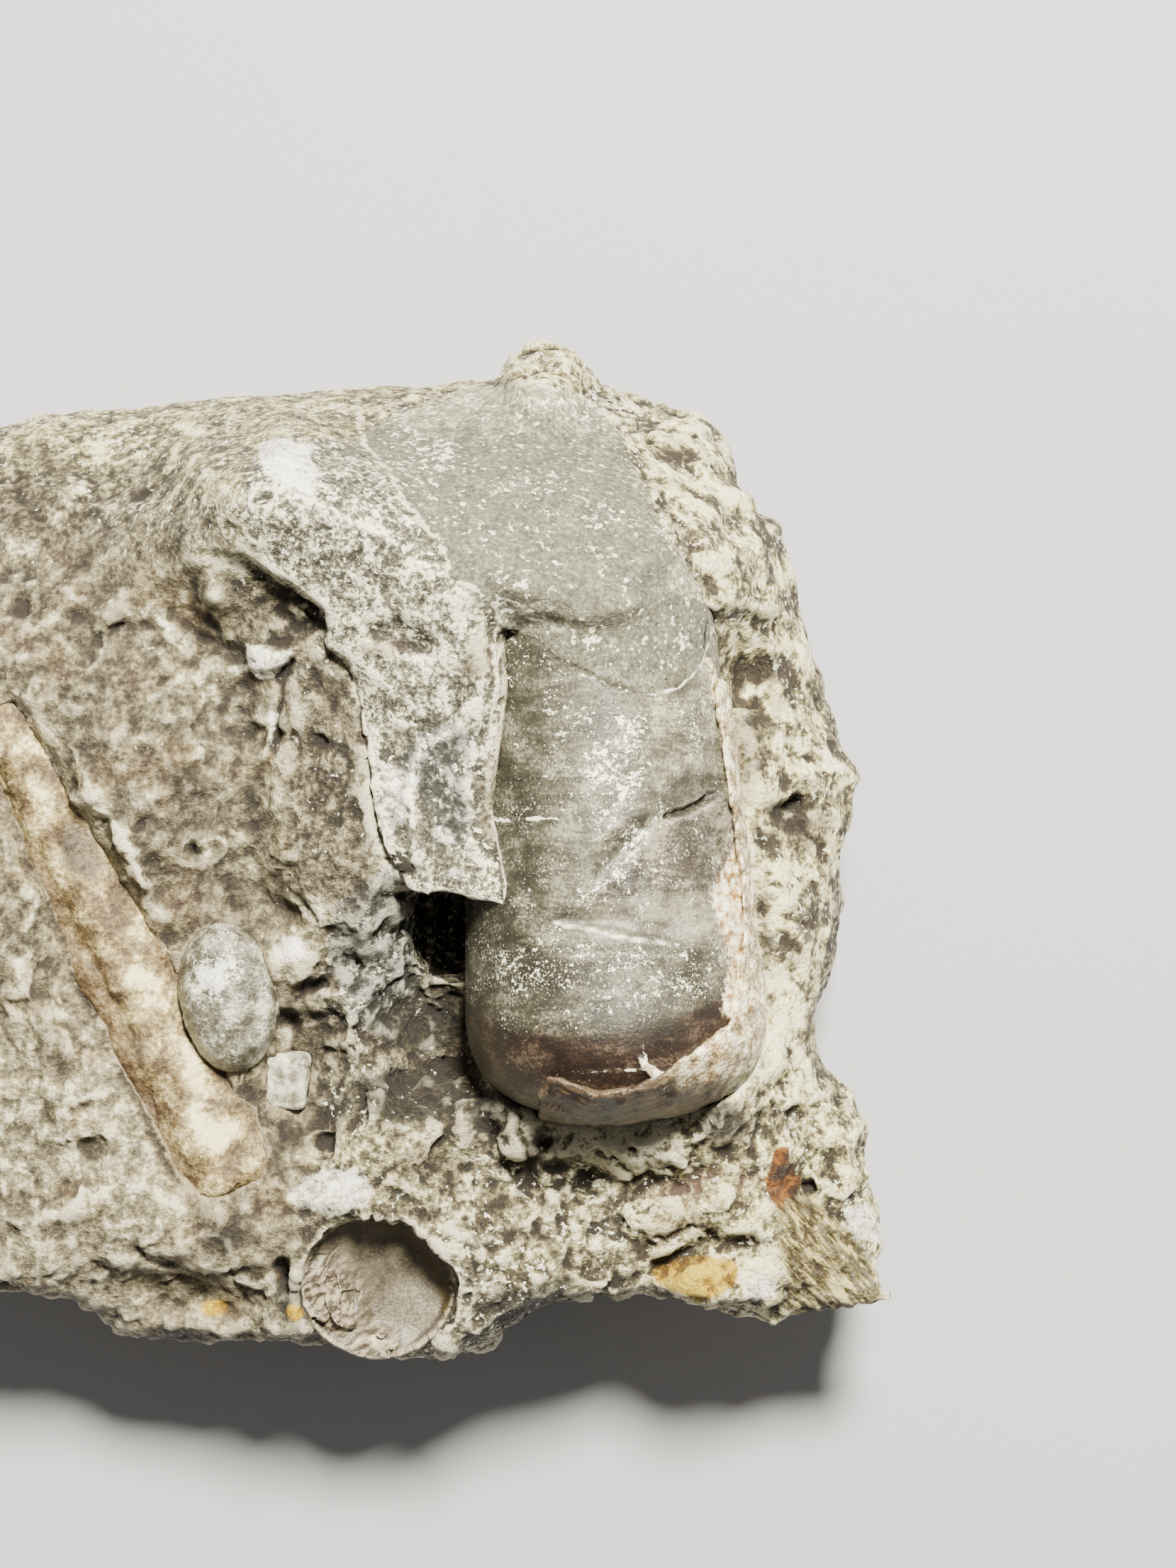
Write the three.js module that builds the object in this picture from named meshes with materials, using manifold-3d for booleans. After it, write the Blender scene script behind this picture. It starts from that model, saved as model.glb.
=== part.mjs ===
/**
 * A hand specimen of shelly grey limestone with a straight nautiloid (an orthocone) standing out of
 * its broken face. Smaller fossils lie in the same stone: a narrow second orthocone, an oval crinoid
 * ossicle, the hollow inside of a brachiopod valve and one calcite crystal.
 *
 * Millimetres, +Z up. The block lies on its flat bedding face with the fossils upwards. The origin is
 * on that face, under the middle of the block; +Y points along the orthocone, away from its round end.
 */
import * as THREE from "three";
import { ImprovedNoise } from "three/addons/math/ImprovedNoise.js";
import { mergeVertices } from "three/addons/utils/BufferGeometryUtils.js";
import Module from "manifold-3d";

// ---------------------------------------------------------------- driving dimensions

/** Parting between the stone and each fossil. */
const PARTING = 0.3;

/** A height clear above the whole block, where the cuts from above start. */
const CLEAR_ABOVE = 40;

/** The block: how it is meshed, and the heights of its face and of its widest level. */
const BLOCK = {
  columns: 48,
  rows: 42,
  layers: 5,
  crowding: 0.22, // how far the mesh is drawn towards +X, where the detail is
  halfLength: 33,
  halfWidth: 29,
  faceHeight: 19.5,
  rimHeight: 10.5,
  rimRise: 2.5, // the widest level is higher at the -Y edge and lower at the +Y edge
  footShare: 0.9, // size of the foot against the widest level
  sideLumps: { wavelength: 13, height: 1.8 },
  edgeDetail: 8, // how closely the small bumps of the outline keep to the edge, as a power
  belowBench: 2, // stone that is sawn away to make the flat bedding face
};

/** How sharply the face turns over at its edge: as a power, 2 is an ellipse and more is squarer. */
const SHOULDER = {
  square: 4.4,
  round: 2.1,
  roundFromY: [8, 24], // it gets rounder towards the +Y end over this stretch
  roundFromX: [19, 29], // and towards the right flank
  flankShare: 0.8,
};

/** Flat breaks low on the sides: a point on each and the way it faces. */
const BREAKS = [
  { through: [-27, -15, 5], facing: [-0.72, -0.42, -0.55] },
  { through: [-25, 15, 5], facing: [-0.66, 0.5, -0.56] },
  { through: [18, -23, 4], facing: [0.3, -0.72, -0.62] },
  { through: [25, 9, 4], facing: [0.8, 0.2, -0.56] },
  { through: [2, 24, 3], facing: [0.1, 0.75, -0.65] },
];

/** The widest outline of the block, seen from above, anticlockwise from the middle of the +X side. */
const OUTLINE = [
  [29.8, -1.7], [30.7, 1.2], [31.0, 4.2], [29.7, 5.8], [29.0, 8.2], [28.6, 10.6], [27.9, 13.6],
  [27.2, 16.4], [26.4, 18.9], [24.8, 19.8], [24.2, 22.0], [23.6, 24.2], [22.2, 25.5], [20.4, 25.8],
  [18.0, 26.7], [15.9, 27.4], [14.6, 28.9], [12.6, 29.1], [10.8, 28.6], [9.6, 27.6], [5.6, 27.3],
  [1.5, 27.0], [-4.7, 26.7], [-10.9, 26.1], [-15.1, 25.1], [-21.7, 23.5], [-26.2, 20.4],
  [-30.0, 16.6], [-32.2, 11.6], [-33.5, 6.1], [-33.0, 0.2], [-33.3, -6.2], [-32.2, -12.6],
  [-30.3, -17.9], [-26.6, -22.2], [-22.5, -24.6], [-19.2, -25.6], [-14.6, -26.0], [-12.4, -27.9],
  [-8.0, -28.7], [-3.0, -28.4], [1.5, -28.8], [5.6, -29.6], [8.4, -28.9], [10.6, -27.6],
  [14.0, -26.8], [16.6, -26.5], [18.8, -25.5], [21.4, -26.3], [24.4, -27.4], [27.4, -27.6],
  [30.6, -27.0], [32.7, -26.0], [31.6, -23.8], [32.4, -22.0], [31.2, -19.2], [31.1, -16.4],
  [30.0, -13.8], [28.2, -12.4], [28.0, -9.6], [29.0, -6.6],
];

/**
 * The relief of the face, laid down in this order. Each stamp is an ellipse with radii rx and ry,
 * turned anticlockwise by `turn` degrees, that pulls the stone towards its own `level` above the
 * bench. `flat` is the share of its radius that is pulled all the way, and riseX and riseY slope its
 * level, in millimetres for each millimetre.
 */
const RELIEF = [
  { name: "left field", x: -12, y: 6, rx: 17, ry: 18, level: 22.2, flat: 0.1 },
  { name: "lower left field", x: -17, y: -15, rx: 12, ry: 10, level: 18.6, flat: 0.2 },
  { name: "shoulder left of the dome", x: -0.5, y: 20, rx: 14, ry: 8, level: 26.6, flat: 0.15 },
  { name: "dome over the orthocone", x: 13.6, y: 16, rx: 17, ry: 16, level: 29.9, flat: 0.22 },
  { name: "right flank", x: 28.5, y: 0, rx: 5.6, ry: 20, turn: -3, level: 20, flat: 0.4 },
  { name: "ground below the dome", x: 13, y: -6, rx: 13, ry: 11, level: 18.5, flat: 0.5 },
  { name: "ground under the flake", x: 5, y: 2.5, rx: 6.4, ry: 9.6, turn: 14, level: 19.4, flat: 0.6 },
  { name: "slot beside the orthocone", x: 24.2, y: 9.6, rx: 2.2, ry: 4.6, level: 17, flat: 0.2 },
  { name: "nick in the right flank", x: 26.8, y: 2.6, rx: 2.4, ry: 1.6, level: 17.4, flat: 0.2 },
  { name: "hollow beside the flake", x: 1.2, y: 5.2, rx: 4, ry: 7.8, turn: 10, level: 20.8, flat: 0.3 },
  { name: "hollow under the dome's lip", x: -2, y: 13.4, rx: 3.4, ry: 2.4, turn: -32, level: 20.8, flat: 0.3 },
  { name: "wall left of the cavity", x: 2.8, y: -5.4, rx: 3, ry: 4.6, level: 19.2, riseX: -0.5, flat: 0.3 },
  { name: "pale lump", x: -1.3, y: -5.9, rx: 3, ry: 2.8, level: 21.4, flat: 0.2 },
  { name: "valley left of the round end", x: 6.4, y: -10.6, rx: 5, ry: 5, level: 15, flat: 0.35 },
  { name: "broken ground by the crystal", x: -0.6, y: -13, rx: 3.6, ry: 5, level: 16, flat: 0.3 },
  {
    name: "ground under the small orthocone",
    x: -11.6, y: -5.4, rx: 4.4, ry: 17.5, turn: 26.7, level: 19.5, riseY: 0.126, flat: 0.45,
  },
  {
    name: "rib left of the small orthocone",
    x: -16.4, y: -8.6, rx: 1.8, ry: 12, turn: 24, level: 20.8, riseY: 0.1, flat: 0.2,
  },
  { name: "shelf under the round end", x: 16.8, y: -16.6, rx: 9, ry: 4, level: 16, flat: 0.45 },
  { name: "front swell", x: 17.6, y: -22.6, rx: 8.6, ry: 3.4, turn: -4, level: 18, flat: 0.3 },
  {
    name: "swell between shelf and valve",
    x: 8.2, y: -19.2, rx: 5.2, ry: 4.6, turn: 20, level: 18.2, flat: 0.2,
  },
  { name: "front ledge", x: 26.4, y: -17.2, rx: 6.4, ry: 8.4, turn: 10, level: 19.8, flat: 0.35 },
  { name: "crest above the valve", x: 1.4, y: -19, rx: 5, ry: 2.2, turn: -8, level: 19.4, flat: 0.3 },
  { name: "low front edge", x: -9, y: -26, rx: 9, ry: 3.4, level: 14.5, flat: 0.2 },
];

/** Lumps in the broken stone: wavelength and height of each size of lump. */
const LUMPS = [
  { wavelength: 9, height: 0.9 },
  { wavelength: 4.2, height: 0.65 },
];

/** Ellipses where the stone is smooth, and the share of the lumps that is lost there. */
const SMOOTH_SHARE = 0.9;
const SMOOTH = [
  { x: 10, y: 16, rx: 16, ry: 13, flat: 0.6 },
  { x: 6.6, y: 5, rx: 5.4, ry: 11, turn: 12, flat: 0.5 },
  { x: -11.6, y: -5.4, rx: 3.6, ry: 17, turn: 26.7, flat: 0.6 },
];

/**
 * The flake of stone that lies against the left side of the orthocone and runs up into the dome. Its
 * lower end stands free over the cavity. Its two faces are planes, given by their height at `at`.
 */
const FLAKE = {
  at: [6.5, 5],
  top: { level: 25.2, riseX: 0.3, riseY: 0.1 },
  underside: { level: 21.4, riseX: 0.1, riseY: -0.35 },
  outline: [
    [-3.6, 16.4], [-1.9, 15], [-0.7, 14], [0.2, 13.4], [0.5, 11.6], [1.9, 10.2], [2.6, 7.9], [2.9, 5.3],
    [3, 3.6], [3.3, 1.7], [3.7, 0.1], [5.3, -2.3], [7.3, -2.3], [8.8, -2.7], [11, -3.2], [14, 2],
    [14, 14], [8, 16.4], [0, 18.4],
  ],
};

/** The main fossil: a tapered tube with a blunt round end, measured along its axis from that end. */
const ORTHOCONE = {
  endX: 16.8,
  endY: -14.7,
  endZ: 18.9,
  length: 29.6,
  capLength: 6,
  capPower: 2.7, // 2 is an ellipse, more is blunter
  radius: 8.15,
  taper: 0.066, // loss of radius per millimetre
  leanLeft: 3.2, // degrees
  leanUp: 2.6,
  sides: 30,
  capSteps: 7,
  bodySteps: 6,
};

/** The edge of the stone over the orthocone, seen from above. Inside it the orthocone is bare. */
const WINDOW = [
  [10.2, 13.4], [10.4, 12.3], [12.4, 11.9], [13.6, 10.7], [15.6, 9.7], [17.4, 9.1], [19.2, 8.9],
  [20.7, 9.5], [21.6, 11.3], [22.1, 14.2], [22.9, 10.2], [23.6, 6.4], [24.3, 2.6], [24.9, -1],
  [25.4, -4], [25.6, -7.2], [25.4, -9.4], [24, -12.6], [21.6, -14.8], [16.8, -15.8], [12, -15],
  [8.6, -12.6], [7.4, -8], [8.4, -4], [10.9, -3.2], [10.6, -1.3], [9.9, 0.3], [9.3, 2], [9.4, 3],
  [9.8, 5.8], [10.3, 9.1], [10.1, 11.6],
];
const WINDOW_FLOOR = 18.6;

/** The dark cavity under the free lower edge of the flake. */
const CAVITY = {
  mouth: [[5.1, -2.5], [7.6, -2.3], [10.9, -3.2], [10.4, -5.4], [8.8, -7.1], [5.9, -7.1], [5.2, -4.8]],
  floor: 14,
  undercut: { x: 7.6, y: -4.2, z: 17.6, rx: 2.8, ry: 3.4, rz: 5.6 },
};

/** Remnant of the outer shell on the round end: where it lies, seen from above, and how thick it is. */
const SHELL = {
  thickness: 0.7,
  lowest: 15.4,
  patch: [
    [12.3, -13.8], [12.7, -12.6], [13.5, -12.5], [14.4, -13], [15.4, -13.5], [17.1, -13.4],
    [19, -12.6], [19.9, -12], [21.6, -10.8], [23.2, -9.8], [23.8, -7.8], [24.2, -4.4], [24, -1],
    [23.5, 2.6], [22.9, 6.4], [22.5, 9.6], [25, 9.6], [27.5, 1.6], [27.5, -17.5], [12.3, -17.5],
  ],
};

/** The narrow orthocone that lies across the left of the face, from its wide end to its narrow end. */
const SMALL_ORTHOCONE = {
  wideEnd: [-4.9, -18.9, 17.0],
  narrowEnd: [-18.4, 8.0, 20.4],
  wideRadius: 2.7,
  narrowRadius: 1.5,
  wideEndFlat: 0.7, // flat share of each end's radius, inside its rounded edge
  narrowEndFlat: 0.6,
  wideEndEdge: 0.25, // length of the rounded edge, as a share of the end's radius
  narrowEndEdge: 0.5,
  sides: 16,
};

/** The oval ossicle beside it. */
const OSSICLE = { x: -5.2, y: -8.2, z: 19.3, rx: 2.6, ry: 4.0, rz: 2.2, turn: 8 };

/** The hollow side of a brachiopod valve, at the lower edge of the face. */
const VALVE = {
  x: 3.1, y: -24.3, z: 14.2,
  halfWidth: 4.3, halfHeight: 4.2, depth: 2.4, thickness: 0.7,
  tilt: 14, // degrees, lower edge down
  sides: 20,
  steps: 6,
  clearAbove: 14, // its socket is open this far above its rim
};

/** A cleavage rhomb of calcite in the broken ground. */
const CRYSTAL = { x: -2.2, y: -12.9, z: 16.4, size: [2.3, 2.7, 2.6], turn: -6, tilt: 12 };

/** Colour and roughness of the stone and the fossils. */
const LOOKS = {
  limestone: { color: 0xb3a893, roughness: 0.9 },
  mould: { color: 0x8f8a7c, roughness: 0.55 },
  shell: { color: 0xa08a6c, roughness: 0.5 },
  smallOrthocone: { color: 0xc9b190, roughness: 0.7 },
  ossicle: { color: 0xcbc7b7, roughness: 0.35 },
  valve: { color: 0x948673, roughness: 0.5 },
  calcite: { color: 0xdedccf, roughness: 0.3 },
};

// ---------------------------------------------------------------- solids

const wasm = await Module();
wasm.setup();

/** A closed geometry as a solid that can be joined and cut. */
function solidOf(geometry) {
  const bare = geometry.clone();
  bare.deleteAttribute("normal");
  bare.deleteAttribute("uv");
  const merged = mergeVertices(bare, 1e-4);
  return new wasm.Manifold(
    new wasm.Mesh({
      numProp: 3,
      vertProperties: merged.attributes.position.array,
      triVerts: new Uint32Array(merged.index.array),
    }),
  );
}

/** A solid back as a geometry. */
function geometryOf(solid) {
  const mesh = solid.getMesh();
  return new THREE.BufferGeometry()
    .setAttribute("position", new THREE.BufferAttribute(mesh.vertProperties, 3))
    .setIndex(new THREE.BufferAttribute(mesh.triVerts, 1));
}

/** The largest piece of a solid: cutting can leave crumbs. */
function largestPiece(solid) {
  return solid.decompose().reduce((a, b) => (a.volume() > b.volume() ? a : b));
}

/** An upright prism over an outline, from one height to another. */
function prism(outline, from, to) {
  const shape = new THREE.Shape(outline.map(([x, y]) => new THREE.Vector2(x, y)));
  const geometry = new THREE.ExtrudeGeometry(shape, { depth: to - from, bevelEnabled: false });
  return solidOf(geometry.translate(0, 0, from));
}

/** A slab over an outline, between two sloping planes. */
function slab({ at, top, underside, outline }) {
  const shape = new THREE.Shape(outline.map(([x, y]) => new THREE.Vector2(x, y)));
  const geometry = new THREE.ExtrudeGeometry(shape, { depth: 1, bevelEnabled: false });
  const position = geometry.attributes.position;
  for (let i = 0; i < position.count; i++) {
    const { level, riseX, riseY } = position.getZ(i) > 0.5 ? top : underside;
    const z = level + riseX * (position.getX(i) - at[0]) + riseY * (position.getY(i) - at[1]);
    position.setZ(i, z);
  }
  return solidOf(geometry);
}

/** An ellipsoid, turned about Z. */
function ellipsoid({ x, y, z, rx, ry, rz, turn = 0 }, grow = 0, sides = 16) {
  const geometry = new THREE.SphereGeometry(1, sides, Math.round(sides / 2))
    .scale(rx + grow, ry + grow, rz + grow)
    .rotateZ(THREE.MathUtils.degToRad(turn))
    .translate(x, y, z);
  return solidOf(geometry);
}

// ---------------------------------------------------------------- the limestone block

const noise = new ImprovedNoise();

/** How much of an ellipse's effect reaches a point: 1 on its flat part, 0 outside it. */
function share({ x, y, rx, ry, turn = 0, flat }, px, py) {
  const angle = THREE.MathUtils.degToRad(turn);
  const dx = px - x;
  const dy = py - y;
  const u = (dx * Math.cos(angle) + dy * Math.sin(angle)) / rx;
  const v = (dy * Math.cos(angle) - dx * Math.sin(angle)) / ry;
  return 1 - THREE.MathUtils.smoothstep(Math.hypot(u, v), flat, 1);
}

/** Height of the lumps in the broken stone at a point. */
function lumps(x, y, z) {
  const smooth = Math.max(...SMOOTH.map((ellipse) => share(ellipse, x, y)));
  const rough = 1 - SMOOTH_SHARE * smooth;
  const sum = LUMPS.reduce(
    (total, { wavelength, height }) =>
      total + height * noise.noise(x / wavelength, y / wavelength, z / wavelength),
    0,
  );
  return rough * sum;
}

/** Height of the face at a point, before it rounds over to the edge. */
function faceHeight(x, y) {
  return RELIEF.reduce((z, stamp) => {
    const { level, riseX = 0, riseY = 0 } = stamp;
    const own = level + riseX * (x - stamp.x) + riseY * (y - stamp.y);
    return THREE.MathUtils.lerp(z, own, share(stamp, x, y));
  }, BLOCK.faceHeight);
}

/** Distance from the origin to the outline in a direction, by where the ray meets its sides. */
function outlineRadius(angle) {
  const ux = Math.cos(angle);
  const uy = Math.sin(angle);
  let radius = 0;
  OUTLINE.forEach(([ax, ay], i) => {
    const [bx, by] = OUTLINE[(i + 1) % OUTLINE.length];
    const across = (bx - ax) * uy - (by - ay) * ux;
    const along = (ax * uy - ay * ux) / -across;
    if (along < 0 || along > 1) return;
    const hit = (ax + along * (bx - ax)) * ux + (ay + along * (by - ay)) * uy;
    radius = Math.max(radius, hit);
  });
  return radius;
}

/** The outline's radius in a direction, with its small bumps evened out: a mean of nearby ones. */
function evenRadius(angle) {
  const steps = [-4, -3, -2, -1, 0, 1, 2, 3, 4];
  const stepAngle = THREE.MathUtils.degToRad(7);
  const around = steps.map((step) => outlineRadius(angle + step * stepAngle));
  return around.reduce((sum, radius) => sum + radius, 0) / around.length;
}

/** How squarely the face turns over at the edge: gently at the +Y end and on the right flank. */
function shoulderPower(x, y) {
  const { square, round, roundFromX, roundFromY, flankShare } = SHOULDER;
  const gentle = Math.max(
    THREE.MathUtils.smoothstep(y, ...roundFromY),
    flankShare * THREE.MathUtils.smoothstep(x, ...roundFromX),
  );
  return THREE.MathUtils.lerp(square, round, gentle);
}

/** The block as a shaped box: its face, its sides, and a foot that reaches below the bench. */
function limestoneBlank() {
  const { columns, rows, layers, crowding, halfLength, halfWidth } = BLOCK;
  const { rimHeight, rimRise, footShare, sideLumps, edgeDetail, belowBench } = BLOCK;
  const box = new THREE.BoxGeometry(2, 2, 2, columns, rows, layers);
  box.deleteAttribute("normal");
  box.deleteAttribute("uv");
  const geometry = mergeVertices(box, 1e-5);
  const position = geometry.attributes.position;
  for (let i = 0; i < position.count; i++) {
    const a = position.getX(i) + crowding * (1 - position.getX(i) ** 2);
    const b = position.getY(i);
    const c = position.getZ(i);
    const out = Math.max(Math.abs(a), Math.abs(b)); // 0 in the middle, 1 at the edge
    const angle = Math.atan2(b * halfWidth, a * halfLength);
    const detail = out ** edgeDetail;
    const radius = out * THREE.MathUtils.lerp(evenRadius(angle), outlineRadius(angle), detail);
    let x = radius * Math.cos(angle);
    let y = radius * Math.sin(angle);
    const rim = rimHeight - (rimRise * y) / halfWidth;
    let z;
    const onFace = c > 0.999;
    if (onFace) {
      const power = shoulderPower(x, y);
      const shoulder = (1 - out ** power) ** (1 / power);
      z = rim + (faceHeight(x, y) - rim + lumps(x, y, 0)) * shoulder;
    } else {
      const up = (c + 1) / 2;
      const height = up * (rim + belowBench);
      const { wavelength } = sideLumps;
      const lump = sideLumps.height * noise.noise(x / wavelength, y / wavelength, height / wavelength);
      const inward = THREE.MathUtils.lerp(footShare, 1, Math.sin((up * Math.PI) / 2));
      const scale = inward + (lump / halfWidth) * Math.sin(up * Math.PI);
      x *= scale;
      y *= scale;
      z = height - belowBench;
    }
    position.setXYZ(i, x, y, z);
  }
  return solidOf(geometry);
}

/** Everything on the far side of a flat break. */
function beyond({ through, facing }) {
  const size = 200;
  const turn = new THREE.Quaternion().setFromUnitVectors(
    new THREE.Vector3(0, 0, 1),
    new THREE.Vector3(...facing).normalize(),
  );
  const geometry = new THREE.BoxGeometry(size, size, size)
    .translate(0, 0, size / 2)
    .applyQuaternion(turn)
    .translate(...through);
  return solidOf(geometry);
}

// ---------------------------------------------------------------- the fossils

/** The orthocone's tube, grown by a distance on all sides. */
function orthoconeTube(grow = 0) {
  const { length, capLength, capPower, capSteps, bodySteps, radius, taper, sides } = ORTHOCONE;
  const { endX, endY, endZ, leanUp, leanLeft } = ORTHOCONE;
  const profile = [new THREE.Vector2(0, -grow)];
  for (let i = 1; i <= capSteps; i++) {
    const share = Math.sin(((i / capSteps) * Math.PI) / 2) ** 2;
    const r = (1 - (1 - share) ** capPower) ** (1 / capPower);
    profile.push(new THREE.Vector2(r * (radius + grow), -grow + share * (capLength + grow)));
  }
  for (let i = 1; i <= bodySteps; i++) {
    const along = (i / bodySteps) * (length - capLength);
    profile.push(new THREE.Vector2(radius + grow - taper * along, capLength + along));
  }
  profile[profile.length - 1].y += grow;
  profile.push(new THREE.Vector2(0, length + grow));
  const geometry = new THREE.LatheGeometry(profile, sides)
    .rotateX(THREE.MathUtils.degToRad(leanUp))
    .rotateZ(THREE.MathUtils.degToRad(leanLeft))
    .translate(endX, endY, endZ);
  return solidOf(geometry);
}

/** The remnant of outer shell: a skin over the round end, cut to its patch. */
function shellRemnant() {
  const skin = orthoconeTube(PARTING + SHELL.thickness).subtract(orthoconeTube(PARTING));
  return largestPiece(skin.intersect(prism(SHELL.patch, SHELL.lowest, CLEAR_ABOVE)));
}

/** The narrow orthocone, grown by a distance on all sides. */
function smallOrthocone(grow = 0) {
  const { wideEnd, narrowEnd, wideRadius, narrowRadius, sides } = SMALL_ORTHOCONE;
  const { wideEndFlat, narrowEndFlat, wideEndEdge, narrowEndEdge } = SMALL_ORTHOCONE;
  const from = new THREE.Vector3(...wideEnd);
  const along = new THREE.Vector3(...narrowEnd).sub(from);
  const length = along.length();
  const profile = [
    [0, -grow],
    [wideEndFlat * wideRadius + grow, -grow],
    [wideRadius + grow, wideEndEdge * wideRadius],
    [narrowRadius + grow, length - narrowEndEdge * narrowRadius],
    [narrowEndFlat * narrowRadius + grow, length + grow],
    [0, length + grow],
  ];
  const geometry = new THREE.LatheGeometry(profile.map(([r, s]) => new THREE.Vector2(r, s)), sides);
  const turn = new THREE.Quaternion().setFromUnitVectors(new THREE.Vector3(0, 1, 0), along.normalize());
  return solidOf(geometry.applyQuaternion(turn).translate(...wideEnd));
}

/** Places a geometry that was made about the valve's own middle. */
function placeValve(geometry) {
  return solidOf(
    geometry.rotateX(THREE.MathUtils.degToRad(VALVE.tilt)).translate(VALVE.x, VALVE.y, VALVE.z),
  );
}

/** The valve: a shallow bowl of even thickness, open upwards. */
function brachiopodValve() {
  const { halfWidth, halfHeight, depth, thickness, sides, steps } = VALVE;
  const bowl = (size, drop) =>
    Array.from({ length: steps + 1 }, (_, i) => {
      const angle = (i / steps) * (Math.PI / 2);
      return new THREE.Vector2(size * Math.sin(angle), depth - drop - depth * Math.cos(angle));
    });
  const outside = bowl(1, thickness);
  const inside = bowl(1 - thickness / halfWidth, 0).reverse();
  outside[steps].y = depth;
  const geometry = new THREE.LatheGeometry([...outside, ...inside], sides)
    .rotateX(Math.PI / 2)
    .scale(halfWidth, halfHeight, 1);
  return placeValve(geometry);
}

/** The room that the valve needs in the stone: its bowl grown outwards and open above. */
function valveSocket() {
  const { halfWidth, halfHeight, depth, thickness, sides, steps, clearAbove } = VALVE;
  const profile = Array.from({ length: steps + 1 }, (_, i) => {
    const angle = (i / steps) * (Math.PI / 2);
    return new THREE.Vector2(Math.sin(angle), -thickness - PARTING + depth * (1 - Math.cos(angle)));
  });
  const top = depth + clearAbove;
  profile.push(new THREE.Vector2(1, top), new THREE.Vector2(0, top));
  const geometry = new THREE.LatheGeometry(profile, sides)
    .rotateX(Math.PI / 2)
    .scale(halfWidth + PARTING, halfHeight + PARTING, 1);
  return placeValve(geometry);
}

/** The calcite rhomb, grown by a distance on all sides. */
function calciteCrystal(grow = 0) {
  const { x, y, z, size, turn, tilt } = CRYSTAL;
  const geometry = new THREE.BoxGeometry(...size.map((side) => side + 2 * grow))
    .rotateX(THREE.MathUtils.degToRad(tilt))
    .rotateZ(THREE.MathUtils.degToRad(turn))
    .translate(x, y, z);
  return solidOf(geometry);
}

// ---------------------------------------------------------------- the specimen

/** The limestone, sawn flat below and opened for the cavity and for each fossil. */
function limestone() {
  const bench = { through: [0, 0, 0], facing: [0, 0, -1] };
  const shellRoom = orthoconeTube(2 * PARTING + SHELL.thickness)
    .intersect(prism(SHELL.patch, SHELL.lowest - PARTING, CLEAR_ABOVE));
  const cuts = [
    beyond(bench),
    ...BREAKS.map(beyond),
    prism(WINDOW, WINDOW_FLOOR, CLEAR_ABOVE),
    prism(CAVITY.mouth, CAVITY.floor, CLEAR_ABOVE),
    ellipsoid(CAVITY.undercut),
    orthoconeTube(PARTING),
    shellRoom,
    smallOrthocone(PARTING),
    ellipsoid(OSSICLE, PARTING),
    valveSocket(),
    calciteCrystal(PARTING),
  ];
  const whole = limestoneBlank().add(slab(FLAKE));
  return largestPiece(cuts.reduce((stone, cut) => stone.subtract(cut), whole));
}

/** A named piece of the specimen. */
function piece(name, solid, look) {
  const material = new THREE.MeshStandardMaterial({ ...look, metalness: 0 });
  const mesh = new THREE.Mesh(geometryOf(solid), material);
  mesh.name = name;
  return mesh;
}

const ossicle = largestPiece(ellipsoid(OSSICLE).subtract(smallOrthocone(PARTING)));

const specimen = new THREE.Group();
specimen.add(
  piece("limestone_matrix", limestone(), LOOKS.limestone),
  piece("orthocone_mould", orthoconeTube(), LOOKS.mould),
  piece("shell_remnant", shellRemnant(), LOOKS.shell),
  piece("small_orthocone", smallOrthocone(), LOOKS.smallOrthocone),
  piece("crinoid_ossicle", ossicle, LOOKS.ossicle),
  piece("brachiopod_valve", brachiopodValve(), LOOKS.valve),
  piece("calcite_crystal", calciteCrystal(), LOOKS.calcite),
);

export default specimen;
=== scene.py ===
"""A hand specimen of shelly limestone with a straight nautiloid, finished over its CAD solids.

The stone and every fossil are sculpted from a copy of their solid. Sculpting is done in
millimetres: +Z is up out of the face and +Y runs along the large orthocone. Places on the face are
given as they show from the camera, on the level of the face.
"""
import math
from itertools import product

import bmesh
import bpy
import numpy as np
from mathutils import Matrix, Vector
from mathutils.bvhtree import BVHTree


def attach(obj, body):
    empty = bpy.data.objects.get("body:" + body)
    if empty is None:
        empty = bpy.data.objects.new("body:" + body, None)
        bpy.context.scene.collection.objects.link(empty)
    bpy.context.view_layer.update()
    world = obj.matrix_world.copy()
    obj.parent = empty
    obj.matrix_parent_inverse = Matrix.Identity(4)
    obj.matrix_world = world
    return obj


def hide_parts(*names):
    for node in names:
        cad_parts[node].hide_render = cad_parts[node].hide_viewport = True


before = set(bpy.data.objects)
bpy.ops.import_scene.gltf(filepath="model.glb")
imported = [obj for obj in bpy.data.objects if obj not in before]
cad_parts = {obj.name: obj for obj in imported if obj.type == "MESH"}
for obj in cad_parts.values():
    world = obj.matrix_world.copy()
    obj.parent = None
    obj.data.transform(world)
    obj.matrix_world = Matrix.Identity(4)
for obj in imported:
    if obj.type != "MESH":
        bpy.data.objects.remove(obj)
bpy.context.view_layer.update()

MM = 0.001
EYE = np.array([15.1, 3.8, 320.0])  # where the camera stands
FACE_LEVEL = 20.0
STONE_TOP = 29.2
VIEW_HEIGHT = 88.48  # of what the camera sees on the level of the face

STONE_GRAIN = 0.23  # size of the sculpting mesh
FOSSIL_GRAIN = 0.18
THIN_GRAIN = 0.12
VALVE_GRAIN = 0.14
STONE_TRIANGLES = 192000
MOULD_TRIANGLES = 120000
SHELL_TRIANGLES = 60000
ROD_TRIANGLES = 50000
VALVE_TRIANGLES = 40000
OSSICLE_TRIANGLES = 24000
CRYSTAL_TRIANGLES = 12000

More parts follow.
